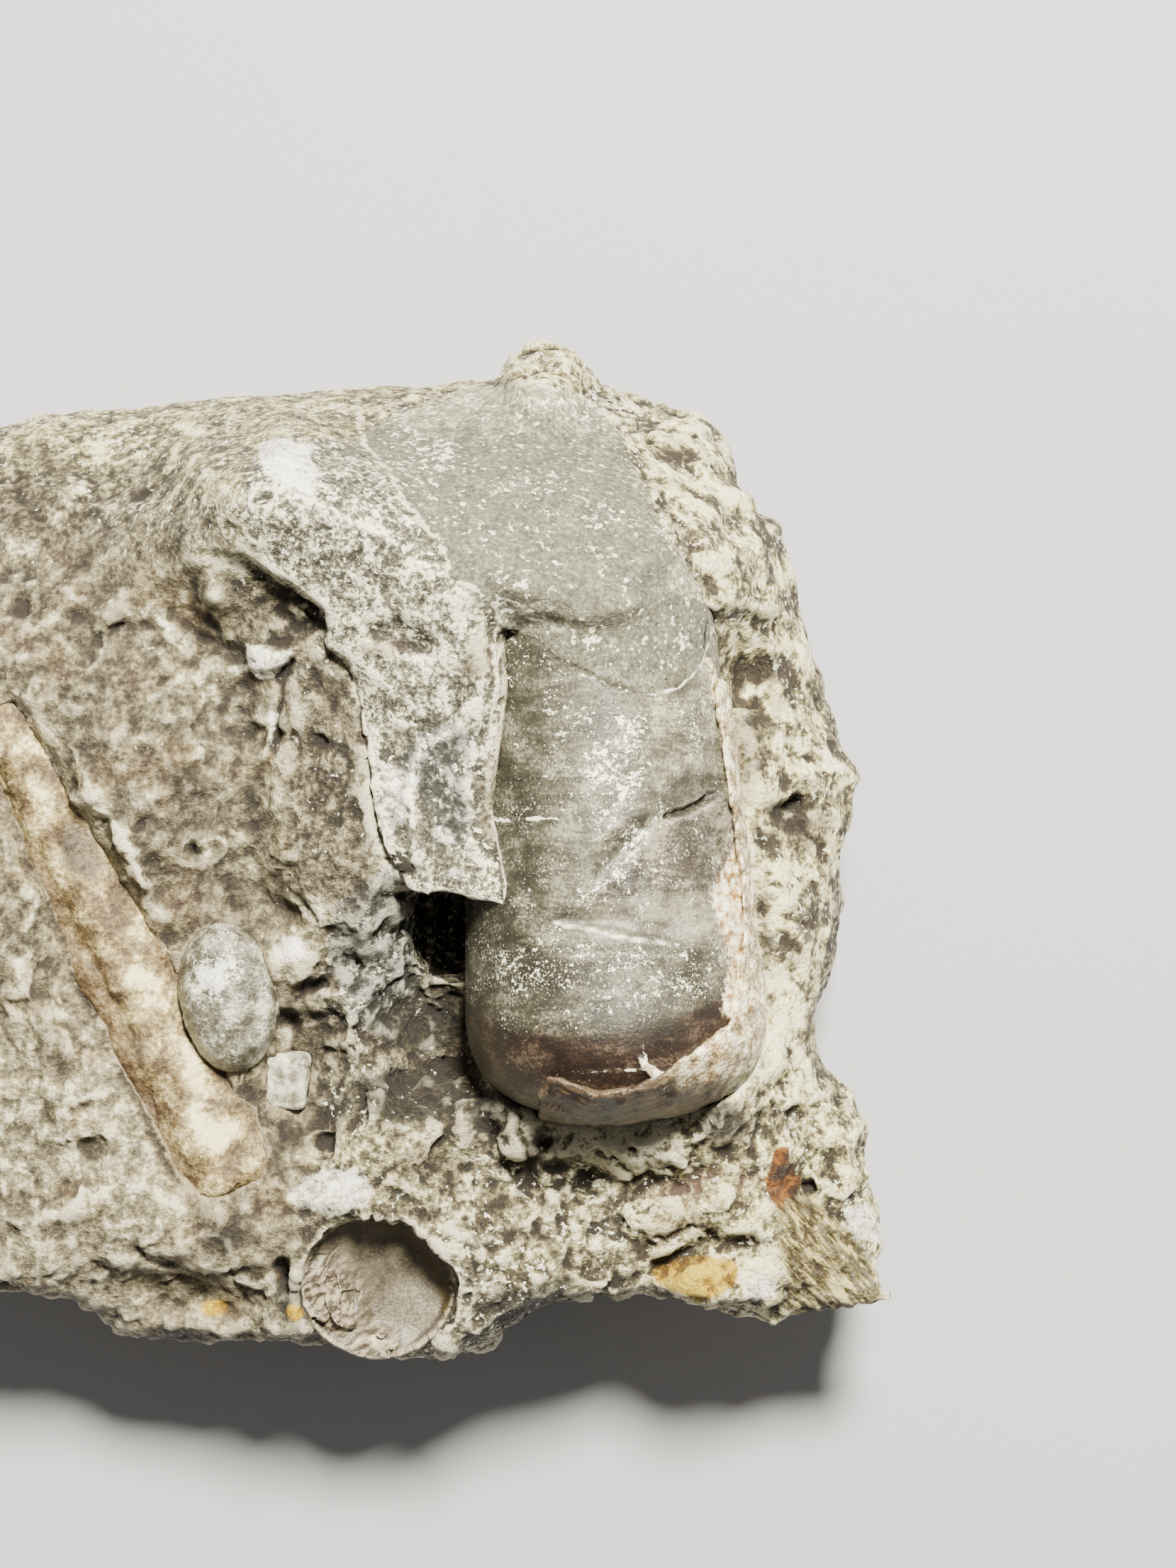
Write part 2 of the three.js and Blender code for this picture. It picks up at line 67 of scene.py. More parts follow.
CLEAR = 0.25  # how far off the stone a look towards the camera starts
SOCKET = 0.4  # stone this near a fossil is hidden under it
PARTING = 1.2  # stone this near a fossil is drawn to it
JOINT = 0.9  # stone this near a fossil is dirty or pale from it


# ---------------------------------------------------------------- repeatable noise


def scatter(cells, seed):
    """Repeatable random numbers from 0 to 1, one for each cell of a grid."""
    x, y, z = (cells[:, i].astype(np.int64).astype(np.uint32) for i in range(3))
    mixed = x * np.uint32(374761393) + y * np.uint32(668265263) + z * np.uint32(2246822519)
    mixed = mixed + np.uint32((seed * 3266489917) & 0xFFFFFFFF)
    mixed = (mixed ^ (mixed >> np.uint32(15))) * np.uint32(2246822519)
    mixed = (mixed ^ (mixed >> np.uint32(13))) * np.uint32(3266489917)
    mixed = mixed ^ (mixed >> np.uint32(16))
    return mixed.astype(np.float64) / 2.0**32


def waves(points, wavelength, seed):
    """Smooth noise from -1 to 1."""
    scaled = points / wavelength
    cell = np.floor(scaled)
    share = smooth(scaled - cell)
    total = np.zeros(len(points))
    for corner in product((0, 1), repeat=3):
        weight = np.ones(len(points))
        for axis, side in enumerate(corner):
            weight = weight * (share[:, axis] if side else 1 - share[:, axis])
        total += weight * scatter(cell + np.array(corner), seed)
    return 2 * total - 1


def drift(points, wavelength, seed, axes=2):
    """Smooth noise from -1 to 1 along each axis, to move points about with."""
    return np.stack([waves(points, wavelength, seed + k) for k in range(axes)], axis=1)


OCTAVE_TURN = np.array(Matrix.Rotation(0.9, 3, Vector((0.3, 0.5, 0.8))))


def lumps(points, wavelength, octaves, seed):
    """Lumpy noise: waves of ever shorter length and lower height."""
    total = np.zeros(len(points))
    height = 1.0
    for octave in range(octaves):
        total += height * waves(points, wavelength, seed + octave)
        points = points @ OCTAVE_TURN.T
        wavelength /= 2.1
        height /= 2
    return total


def chips(points, size, seed):
    """Broken stone: each cell is a facet with its own tilt and level."""
    scaled = points / size
    base = np.floor(scaled)
    nearest = np.full(len(scaled), np.inf)
    height = np.zeros(len(scaled))
    for offset in product((-1, 0, 1), repeat=3):
        cell = base + np.array(offset)
        centre = cell + np.stack([scatter(cell, seed + k) for k in range(3)], axis=1)
        away = scaled - centre
        distance = (away**2).sum(axis=1)
        closer = distance < nearest
        nearest[closer] = distance[closer]
        mine = cell[closer]
        tilt = np.stack([scatter(mine, seed + 3 + k) for k in range(3)], axis=1) * 2 - 1
        level = scatter(mine, seed + 6) * 2 - 1
        height[closer] = (away[closer] * tilt).sum(axis=1) + 0.5 * level
    return height


# ---------------------------------------------------------------- places on the face


def seen(points):
    """Where points show from the camera, on the level of the face."""
    nearer = (EYE[2] - FACE_LEVEL) / (EYE[2] - points[:, 2])
    return EYE[:2] + (points[:, :2] - EYE[:2]) * nearer[:, None]


def ragged(points, reach=0.16):
    """Places on the face, moved about a little so that edges break unevenly."""
    along = waves(points, 1.1, 11) + 0.6 * waves(points, 0.5, 12)
    across = waves(points, 1.1, 13) + 0.6 * waves(points, 0.5, 14)
    return seen(points) + reach * np.stack([along, across], axis=1)


def smooth(value):
    """A soft step: 0 below 0, 1 above 1."""
    value = np.clip(value, 0, 1)
    return value * value * (3 - 2 * value)


def oval(places, middle, radii, turn):
    """0 in the middle of an ellipse, 1 on it and more outside; its turn is in degrees."""
    angle = math.radians(turn)
    away = places - np.array(middle)
    along = (away[:, 0] * math.cos(angle) + away[:, 1] * math.sin(angle)) / radii[0]
    across = (away[:, 1] * math.cos(angle) - away[:, 0] * math.sin(angle)) / radii[1]
    return np.hypot(along, across)


def spot(places, middle, radii, turn=0, flat=0.0):
    """1 in the middle of an ellipse, 0 outside it; flat is the share of it that is all 1."""
    return 1 - smooth((oval(places, middle, radii, turn) - flat) / (1 - flat))


def to_path(places, path):
    """Distance to a path, positive on its left side."""
    path = np.array(path, float)
    nearest = np.full(len(places), np.inf)
    signed = np.zeros(len(places))
    for start, end in zip(path[:-1], path[1:]):
        step = end - start
        away = places - start
        share = np.clip(away @ step / (step @ step), 0, 1)
        gap = away - share[:, None] * step
        distance = np.hypot(gap[:, 0], gap[:, 1])
        left = step[0] * away[:, 1] - step[1] * away[:, 0]
        closer = distance < nearest
        nearest[closer] = distance[closer]
        signed[closer] = np.where(left[closer] >= 0, distance[closer], -distance[closer])
    return signed


def from_path(places, path):
    """Distance to a path on either side."""
    return np.abs(to_path(places, path))


def inside(places, outline):
    """Distance to an outline, positive inside it."""
    ring = np.array([*outline, outline[0]], float)
    crossings = np.zeros(len(places), int)
    for (ax, ay), (bx, by) in zip(ring[:-1], ring[1:]):
        spans = (ay > places[:, 1]) != (by > places[:, 1])
        rise = by - ay if by != ay else 1e-9
        at = ax + (places[:, 1] - ay) * (bx - ax) / rise
        crossings += spans & (places[:, 0] < at)
    distance = from_path(places, ring)
    return np.where(crossings % 2 == 1, distance, -distance)


def patch(places, outline, fade=0.6):
    """1 inside an outline, 0 outside it, with a soft edge as wide as fade."""
    return smooth(inside(places, outline) / fade + 0.5)


def line(places, path, width):
    """1 on a path, 0 further away than its width."""
    return 1 - smooth(from_path(places, path) / width)


def ledge(places, path, reach):
    """1 just right of a path, where the ground steps down, and 0 past its reach."""
    away = to_path(places, path)
    return smooth(-away / 0.3) * smooth(1 - (np.abs(away) - reach) / 1.2)


def either(*shares):
    """The larger of several shares at each point."""
    return np.max(np.stack(shares), axis=0)


def spots(places, rows, flat=0.2):
    """All the spots of a table; a row may end with a flat of its own."""
    return either(*(
        share * spot(places, middle, radii, turn, *(own or (flat,)))
        for middle, radii, turn, share, *own in rows
    ))


def veins(places, *paths):
    """Distance to the nearest vein, up to 3; each has a path and how much thinner it is."""
    return np.min([from_path(places, path) + thinner for path, thinner in paths], axis=0).clip(0, 3)


# ---------------------------------------------------------------- clay: a mesh that is sculpted


def into_scene(name, data):
    made = bpy.data.objects.new(name, data)
    bpy.context.scene.collection.objects.link(made)
    return made


def surface_of(*meshes, scale=1 / MM):
    """The meshes' surfaces together, in millimetres, to find what lies close or in the way."""
    together = bmesh.new()
    for mesh in meshes:
        together.from_mesh(mesh)
    bmesh.ops.scale(together, vec=(scale,) * 3, verts=together.verts)
    tree = BVHTree.FromBMesh(together)
    together.free()
    return tree


def gaps(surface, points, reach):
    """Distance from each point to a surface, up to a reach."""
    found = (surface.find_nearest(Vector(point), reach)[3] for point in points)
    return np.array([reach if distance is None else distance for distance in found])


class Clay:
    """A mesh as arrays, in millimetres."""

    def __init__(self, mesh):
        self.mesh = mesh
        count = len(mesh.vertices)
        flat = np.empty(count * 3)
        mesh.vertices.foreach_get("co", flat)
        self.points = flat.reshape(-1, 3)
        ends = np.empty(len(mesh.edges) * 2, int)
        mesh.edges.foreach_get("vertices", ends)
        self.ends = ends.reshape(-1, 2)
        self.neighbours = np.bincount(self.ends.ravel(), minlength=count).clip(1)

    def finished(self):
        """The mesh with the points where they now are."""
        self.mesh.vertices.foreach_set("co", self.points.ravel())
        self.mesh.update()
        return self.mesh

    def normals(self):
        flat = np.empty(len(self.points) * 3, np.float32)
        self.finished().vertex_normals.foreach_get("vector", flat)
        return flat.reshape(-1, 3).astype(float)

    def swell(self, height):
        """Moves each point out along its normal."""
        self.points += self.normals() * np.reshape(height, (-1, 1))

    def average(self, values):
        """The mean of each point's neighbours."""
        a, b = self.ends[:, 0], self.ends[:, 1]
        count = len(self.points)
        total = np.bincount(a, values[b], count) + np.bincount(b, values[a], count)
        return total / self.neighbours

    def spread(self, values, rounds):
        """Values evened out over the neighbours."""
        for _ in range(rounds):
            values = 0.5 * values + 0.5 * self.average(values)
        return values

    def relax(self, rounds, share=1.0):
        """Smooths the shape by a share."""
        for _ in range(rounds):
            for axis in range(3):
                own = self.points[:, axis]
                self.points[:, axis] = own + 0.5 * share * (self.average(own) - own)

    def worn(self, rounds):
        """How far each point stands out of its surroundings, in millimetres."""
        normals = self.normals()
        even = np.stack([self.spread(self.points[:, k], rounds) for k in range(3)], axis=1)
        return ((self.points - even) * normals).sum(axis=1)

    def open_to_camera(self):
        """1 where the camera sees the point, 0 where something is in front of it."""
        normals = self.normals()
        surface = surface_of(self.mesh, scale=1)
        eye = Vector(EYE)
        in_view = np.zeros(len(self.points))
        for i, (point, normal) in enumerate(zip(self.points, normals)):
            start = Vector(point + normal * CLEAR)
            away = eye - start
            facing = away.dot(Vector(normal)) > 0
            if facing and surface.ray_cast(start, away.normalized())[0] is None:
                in_view[i] = 1.0
        return self.spread(in_view, 3)


def solid_copy(node, sharp):
    """A CAD solid's mesh in millimetres, with its edges over sharp degrees marked to stay sharp."""
    mesh = bmesh.new()
    mesh.from_mesh(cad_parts[node].data)
    bmesh.ops.scale(mesh, vec=(1 / MM,) * 3, verts=mesh.verts)
    bmesh.ops.remove_doubles(mesh, verts=mesh.verts, dist=0.002)
    crease = mesh.edges.layers.float.new("crease_edge")
    for edge in mesh.edges:
        if edge.calc_face_angle(0.0) > math.radians(sharp):
            edge[crease] = 1.0
    made = bpy.data.meshes.new(node)
    mesh.to_mesh(made)
    mesh.free()
    return made


def changed(mesh, kind, groups=None, **settings):
    """The mesh that a modifier makes; groups are how much it may do at each point."""
    work = into_scene("work", mesh)
    modifier = work.modifiers.new("step", kind)
    for setting, value in settings.items():
        setattr(modifier, setting, value)
    if groups is not None:
        group = work.vertex_groups.new(name="share")
        levels = np.round(groups * 10).astype(int)
        for level in range(11):
            members = np.flatnonzero(levels == level)
            group.add(members.tolist(), level / 10, "REPLACE")
        modifier.vertex_group = "share"
    graph = bpy.context.evaluated_depsgraph_get()
    graph.update()
    made = bpy.data.meshes.new_from_object(work.evaluated_get(graph))
    bpy.data.objects.remove(work)
    return made


def clay_of(node, grain, grow=0.0, sharp=50):
    """A CAD solid as clay: a dense even mesh, rounded between its sharp edges and grown a little."""
    mesh = changed(solid_copy(node, sharp), "SUBSURF", levels=2, render_levels=2)
    clay = Clay(changed(mesh, "REMESH", mode="VOXEL", voxel_size=grain))
    clay.relax(3)
    clay.swell(grow)
    return clay


def thinned(clay, triangles, coarse=None):
    """Clay of fewer triangles, most of them where it isn't coarse."""
    mesh = clay.finished()
    count = sum(len(face.vertices) - 2 for face in mesh.polygons)
    if count > triangles:
        extra = {}
        if coarse is not None:
            extra = {"groups": 0.8 + 0.2 * coarse, "vertex_group_factor": 1.0}
        mesh = changed(mesh, "DECIMATE", ratio=triangles / count, **extra)
    return Clay(mesh)


def paint(clay, **layers):
    """Stores one number at each point for every named layer."""
    for name, values in layers.items():
        layer = clay.mesh.attributes.new(name, "FLOAT", "POINT")
        layer.data.foreach_set("value", values.astype(np.float32))


def placed(name, mesh, slot, material, *nodes):
    """A finished piece: scaled to metres, shaded smooth, and standing for its CAD nodes."""
    mesh.transform(Matrix.Scale(MM, 4))
    mesh.shade_smooth()
    mesh.materials.clear()
    mesh.materials.append(material)
    piece = into_scene(name, mesh)
    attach(piece, "root")
    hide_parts(*nodes)
    return piece


# ---------------------------------------------------------------- the face: where its features lie

SKIN = [
    (0.7, 22.4), (4.3, 24.6), (7.9, 26), (12.3, 26.4), (15.1, 25.6), (17.1, 23.2), (19.1, 18.5),
    (20.1, 17.2), (21.3, 15), (22, 13.2), (21.8, 11.5), (20.9, 9.7), (19.3, 9.1), (17.4, 9.2), (15.6, 9.9),
    (13.6, 10.9), (12.3, 12.1), (10.3, 12.6), (9.9, 13.2), (7.8, 15.4), (5.8, 18.5), (4.2, 20.9),
    (2.5, 22.4),
]
PLATE = [
    (-4.3, 21.6), (-2.1, 22.8), (0.7, 23.2), (2.5, 22.4), (4.2, 20.9), (5.8, 18.5), (7.8, 15.4),
    (10.1, 13.2), (10, 12.6), (10.2, 9.2), (9.6, 5.9), (9.2, 3), (9.2, 2), (9.8, 0.2), (10.5, -1.4),
    (10.9, -3.4), (8.6, -2.8), (7.2, -2.5), (5.2, -2.5), (5.3, -0.8), (3.6, 0.1), (3.1, 1.6), (2.8, 3.6),
    (2.7, 5.3), (2.4, 7.9), (1.7, 10.3), (0.3, 11.7), (0, 13.6), (-0.9, 14.2), (-2.2, 15.2), (-3.7, 16.2),
    (-4.5, 18.8),
]
CROWN = [
    (-18.9, 24), (-13.7, 24.5), (-10.1, 25.4), (-4.3, 26.2), (1.9, 26.6), (9.9, 27), (13.9, 26.4),
    (12.3, 25.6), (7.9, 25.4), (4.3, 24.4), (1.9, 22.4), (-2.1, 22.4), (-4.3, 21.4), (-4.9, 20),
    (-8.1, 20.4), (-9.5, 22.4), (-12.1, 21.6), (-15.7, 22.4), (-18.9, 22),
]
CREAM = [
    (9.5, 26.4), (11, 28), (12.7, 28.8), (15.1, 28.8), (17.9, 26.6), (22.3, 25.6), (23.9, 21.6),
    (26.3, 18.6), (27.9, 12), (29.3, 6), (30.9, 4.4), (29.9, -1.6), (29.1, -7.2), (27.5, -9.2), (28.7, -12),
    (31.5, -16), (32.7, -22), (32.7, -26.4), (25.9, -27.2), (21.9, -26), (17.9, -24.8), (17.1, -21.6),
    (20.3, -17.6), (24.3, -12), (25.3, -6), (24.1, 2), (23.1, 8), (22.1, 13.8), (19.9, 18.4), (17.1, 23.2),
    (15.1, 25.6), (12.3, 26.2),
]
SLOPE = [
    (-18.9, 25.6), (-10.1, 25.6), (-2.1, 24), (0.7, 20), (-0.9, 16.4), (-4.9, 14), (-10.1, 14), (-15.7, 16),
    (-18.9, 17.6),
]
FLANK = [
    (21.3, 25.6), (24.3, 25.6), (28.3, 17.6), (32.3, 4.8), (32.3, -4), (29.9, -12), (25.9, -12.8),
    (25.1, -7.2), (24.3, 2), (22.7, 12), (21.9, 16), (19.1, 22.4),
]
LOWER_LEFT = [
    (-18.9, -5.6), (-15.7, -6.4), (-12.1, -11.2), (-9.3, -16), (-6.5, -20.8), (-1.3, -25.6), (-2.9, -28),
    (-18.9, -28),
]
LOWER_MIDDLE = [
    (-0.9, -16), (3.5, -14.4), (9.9, -17.6), (17.1, -19.2), (21.9, -17.6), (17.9, -25.2), (9.9, -25.6),
    (7.5, -20.8), (2.7, -20), (-1.3, -20),
]
CAVITY = [(4.3, -2.2), (9.9, -2), (11.1, -3.6), (9.9, -8), (7.5, -8.8), (4.7, -8)]
HOLLOW = [
    (-6.1, 16.8), (-2.2, 16), (-0.1, 13.2), (0.3, 11.4), (1.7, 10.2), (2.4, 7.9), (2.7, 5.3), (3, 1.6),
    (3.5, -1.2), (2.3, -4), (0.1, -3.6), (-1.7, 0.8), (-2.5, 5.6), (-1.9, 9.6), (-3.2, 12), (-4.3, 14),
]
BLUE_WALL = [(0.7, -2.8), (2.7, -1.6), (5.3, -3), (5.4, -8), (4.3, -10.8), (1.9, -10), (0.5, -6.4)]
VALLEY = [
    (4.3, -8), (7.5, -6.8), (8.5, -10), (9.5, -13.2), (11.5, -14.4), (10.7, -17.6), (7.5, -16),
    (4.3, -14.4), (2.7, -11.2),
]
BELOW_END = [
    (9.9, -14), (13.9, -15), (17.9, -15.2), (22.3, -13.2), (25.1, -10), (25.5, -12), (23.5, -16),
    (20.3, -18), (16.3, -17.6), (12.3, -18), (10.7, -16.8),
]

FLAKE_BLEND = [
    (-6.1, 20.8), (-2.1, 22.4), (2.7, 20.4), (5.9, 17.6), (8.3, 14.6), (10.5, 12.8), (10.5, 8), (9.5, 4.8),
    (7.5, 3.6), (4.3, 5.6), (3.1, 8.8), (0.7, 10.8), (-0.5, 12.8), (-2.5, 14.4), (-4.9, 16),
]
FLAKE_RIM = [
    (10, 13.6), (10.1, 12.6), (10.2, 9.2), (9.6, 5.9), (9.2, 3), (9.2, 2), (9.8, 0.2), (10.5, -1.4),
    (10.9, -3.3),
]
FLAKE_RIDGE = [(8.6, 8.2), (7.5, 6.8), (5.6, 5.8), (5.2, 4.4), (5, 2), (5.5, -0.4)]
FLAKE_BLUE = [
    (4.3, 5.8), (7.5, 7.6), (8.8, 6.6), (8.4, 3.6), (8.8, 1.6), (7.7, -0.2), (6.4, 1.2), (5.5, 3.6), (4, 4),
]
FLAKE_EDGE = [
    (-1.1, 14.1), (0, 13.2), (0.3, 11.4), (2.4, 7.9), (2.7, 5.3), (3.1, 1.6), (3.6, 0.1), (4.9, -1),
]
FLAKE_DENT = [(2.7, 12.8), (4.4, 13.3), (5.9, 12.4), (6.8, 11.7), (5.9, 11), (4.3, 11.4), (3.1, 12)]
FLAKE_SHINE = [(3.1, 5), (5.3, 4.6), (5.9, 4), (4.7, 1.6), (3.5, 0.2), (3.1, 2.8)]
FLAKE_CRACK = [(3.1, 5.5), (3.9, 5.2), (4.9, 5.2)]
FLAKE_STREAK = [(7.9, 4.4), (6.7, 2.8), (7, 1.2), (6.1, 0)]

MAIN_VEIN = [
    (2.1, 25.6), (2.2, 24), (2.5, 23), (3.3, 22), (4.2, 20.9), (4.9, 19.7), (5.8, 18.5), (6.6, 17.6),
    (7.2, 16.6), (7.5, 15.8), (7.8, 15.4), (8.6, 14.9), (9.5, 14.4), (9.9, 13.7), (10.2, 13),
]
BEAD_VEIN = [(5.3, 22.4), (5.2, 21.3), (5.9, 20.4), (6.6, 19.9), (7.5, 19.6), (8.2, 18.9), (8.6, 18.4)]
LEFT_LOOP = [(1, 20.6), (0.5, 20.1), (-0.2, 19.4), (-0.4, 18.5), (-0.6, 17.6), (-0.4, 16.9), (0.4, 16.8)]
RIGHT_LOOP = [
    (4.7, 19.9), (4, 19.8), (3.4, 19.7), (3, 19.2), (2.9, 18.7), (2.4, 18), (2.6, 17.3), (2.9, 17.2),
]
RIM_VEIN = [
    (22.3, 13.6), (22, 12.8), (22, 11.8), (21.6, 10.8), (20.9, 9.8), (20.1, 9.2), (18.9, 8.8), (17.5, 9),
    (15.9, 9.6), (14.7, 10),
]
TOP_VEIN = [(10.9, 26.4), (13.5, 26.1), (15.1, 25.6), (16.7, 24.4), (17.9, 22.4)]

SCOOP_RIM = [(-9.5, 13.6), (-8.1, 12), (-6.8, 11), (-4.9, 10.1), (-3.2, 9.7)]
DIAGONAL = [(-9.5, 19.2), (-10.3, 18.4), (-12.1, 16.4), (-13.7, 14.6), (-15.7, 12.8)]
CHIP = [(-4.3, 11.8), (-2.7, 11.4), (-1.3, 11.2), (-1.9, 10.4), (-2.4, 9.8), (-3.5, 9.8), (-4.1, 10.6)]
SLIVER = [(-2.8, 7.8), (-2.5, 7.6), (-2.6, 6.6), (-2.9, 5.8), (-3, 6.4)]
CHIP_CRACK = [(-1.4, 10.8), (-1.8, 10.2), (-2, 9), (-2.2, 7.6), (-2.4, 5.6)]
CHALK = [(-3.6, 23.2), (-2.3, 23.6), (-0.3, 23.2), (-0.2, 21.6), (-0.5, 20), (-2.1, 20.2), (-3.2, 21.4)]

RUST = [
    (25.5, -16.8), (26.4, -16.6), (26.8, -18), (27.3, -18.7), (27, -20), (26.1, -20.4), (25.4, -19.6),
    (25, -18.6),
]
YELLOW = [
    (18.8, -23.4), (20.3, -22.8), (21.9, -22.8), (23.5, -23.2), (23.4, -24.4), (22.3, -25.2), (21.3, -25.5),
    (19.7, -24.8), (18.9, -24.3),
]
FIBRES = [
    (25.6, -20), (27.9, -19.8), (30.1, -21.8), (31.3, -23.6), (32.3, -25.8), (29.5, -26), (27.1, -26.4),
    (26.1, -25.2), (25.7, -22.4),
]
TOOTH = [(29.3, -20), (30.9, -20), (32, -21.4), (31.7, -22.3), (30.1, -21.8)]
PINK = [
    (18.1, -19.6), (19.5, -18.6), (21.9, -18.2), (23.9, -17.6), (24.3, -18.6), (21.9, -20), (20.3, -21.6),
    (18.7, -21.8),
]
OVERHANG = [(17.1, -24), (19.1, -23), (20.3, -22.2), (21.9, -21.5), (23.7, -21.6)]
STEP = [(22, 14.1), (23.5, 13.7), (25.1, 13.6), (26.9, 12.9)]
SEAM = [(10.8, -14.4), (11.4, -16), (11.7, -17.1), (12.2, -18.6), (12.7, -20)]

GROOVE = [
    (18.4, 1.6), (19.1, 2.8), (20, 3.7), (21.3, 4.6), (22.5, 4.4), (22.9, 3.8), (22.4, 3.1), (21.3, 2.5),
    (20.1, 2),
]
GROOVE_CRACK = [(19.8, 1.9), (20.7, 2.3), (21.9, 2.7), (22.7, 3.3)]
LOWER_FACET = [(17.2, -0.2), (15.4, -1.6), (15.6, -0.4), (16.6, 0.9), (18.1, 1.8), (19.1, 1.4)]
FLAT_SIDE = [
    (18.1, 1.2), (20.4, 2), (22.5, 2.8), (23.5, 2), (24, -2), (22.3, -3.6), (19.7, -5), (16.9, -4.7),
    (15.3, -4), (15.9, -2), (17.1, -0.4),
]
RIDGE = [(13.3, -4.1), (14.7, -4.3), (16.9, -4.8), (18.3, -5), (19.7, -5.2)]
FACET = [
    (13.3, -4.1), (16.3, -2.8), (19.5, -2.2), (22.3, -2.4), (23.1, -3.6), (21.5, -5.2), (19.7, -5.2),
    (18.3, -5), (16.9, -4.8), (14.7, -4.3),
]
END_TOP = [(5.9, -7.4), (9.5, -9.2), (12.3, -9.9), (16.2, -10), (19.5, -9.2), (22.7, -8), (25.1, -7)]
EDGE_BAND = [
    (22, -2.4), (23.5, 0.8), (24.9, -1.2), (25.7, -6), (25.3, -8.8), (23.8, -9.8), (22.6, -9.1), (23.1, -6),
    (22.4, -4),
]
EDGE_LINE = [(22, 10.8), (22.4, 8.8), (22.8, 6.3), (23.2, 3.7), (23.7, 2), (24.2, -1.2), (24.6, -4)]
BEVEL_BAND = [
    (9.9, -5.4), (14.7, -4.8), (19.9, -5.6), (22.7, -6), (22.3, -8), (17.9, -9), (13.1, -8), (9.9, -7.2),
]
SIDE_BAND = [(15.9, 2.4), (17.9, 0.8), (16.7, -1.2), (14.7, -2.4)]
CROSS_VEIN = [(9, 2), (9.9, 1.8), (11.1, 1.8), (12.1, 1.8), (13.3, 1.8)]
FAINT_VEIN = [(12.4, 4.2), (13.5, 4.3), (14.6, 4.3)]
END_VEIN = [(18, -10), (18.2, -11), (18.4, -11.7), (18.8, -12.3), (19.2, -12.8)]
END_VEIN_2 = [(15.3, -12.4), (16.7, -12.3), (17.9, -12.3), (19.1, -12.4)]
END_CHIP = [(17.9, -11.6), (18.4, -11.8), (19.6, -12.6), (19, -12.9), (18.1, -12.2)]
LIP = [
    (12.3, -13.8), (12.6, -12.8), (13, -12.6), (13.6, -12.6), (14.4, -13.1), (15.4, -13.6), (17.1, -13.5),
    (19.1, -12.7), (20, -12.1), (21.7, -10.8), (23.2, -10.2), (24.6, -9.2), (25.3, -7.2),
]
ARC = [
    (-0.9, -22.4), (0.1, -21.3), (1.3, -20.8), (2.6, -20.8), (3.8, -21.1), (4.9, -21.6), (5.9, -22.8),
    (6.6, -24), (7.1, -25.4), (7.3, -26.8),
]

ROD_LINE = [
    (-18.9, 4.8), (-18.1, 3.5), (-17.2, 1.4), (-15.8, -0.8), (-14.4, -3.6), (-13, -6.4), (-11.4, -9.6),
    (-10, -13), (-8.9, -15.5), (-7.8, -18.3), (-6.8, -20.4),
]
SECOND_RIB = [(-13.3, 3.6), (-12.1, 2), (-10.9, 0), (-9.5, -2.6), (-9.1, -4)]

WIDE_END = np.array([-4.9, -18.9, 17.0])  # of the small orthocone's axis
NARROW_END = np.array([-18.4, 8.0, 20.4])
OSSICLE = ((-5.2, -8.2), (2.7, 4.1), 8)
VALVE_MIDDLE = np.array([3.1, -24.3, 14.2])
VALVE_RADII = (4.55, 4.45)
VALVE_TILT = 14  # degrees
VALVE_DEPTH = 2.4

# Ovals on the face: middle, radii, turn, depth or height.
PITS = [
    # along the top
    ((1.8, 16.7), (1.1, 0.3), 35, 0.5), ((-3.1, 20), (0.9, 0.5), 20, 0.5),
    ((-9.9, 20), (1.4, 0.6), 10, 0.6),
    # along the bottom
    ((-2.2, -24), (0.5, 1.3), 0, 2.4), ((27.6, -19), (0.6, 0.5), 0, 1.6),
    ((0.3, -16.4), (1.2, 0.6), 0, 1.2), ((3.5, -21.8), (0.9, 0.4), 40, 0.5),
    ((4.3, -13.2), (3, 1.4), 10, 1), ((13.1, -17.6), (1.3, 1), 0, 0.8), ((10.1, -16), (0.9, 0.9), 0, 0.9),
    ((-12.9, -16.8), (1.2, 0.8), 10, 0.8),
    # right of the orthocone
    ((27, -4.1), (0.4, 0.4), 0, 1), ((26.3, 2.6), (1.4, 0.7), 20, 1.2), ((23.3, 11.2), (0.9, 3), 0, 0.5),
    ((22.4, 13.2), (0.7, 0.8), 0, 1.6),
    # the left field
    ((-7.2, -0.1), (0.45, 0.7), 20, 1.4), ((-6.9, 12.4), (1.8, 0.5), -25, 0.5),
    ((-8.9, 9.6), (1.6, 0.6), 30, 0.7), ((-16.9, 14), (0.7, 1.6), 15, 0.7),
    ((-10.5, 7.2), (0.6, 1.4), -20, 0.6), ((-14.5, -12.4), (1.1, 1.4), -20, 0.7),
    ((-15.7, -8), (0.8, 1.2), 20, 0.5),
    # the middle
    ((2.9, 1.1), (0.4, 0.4), 0, 1.4), ((-0.2, -7.6), (1.2, 0.5), 20, 1.2),
    ((-1.6, -9.6), (0.6, 1.2), 25, 1.4), ((2.1, 5.6), (0.8, 1.8), 0, 0.5), ((0.1, 5.8), (1, 1.8), 0, 0.6),
    ((7.5, -12), (2.4, 1.7), 20, 1.2),
]
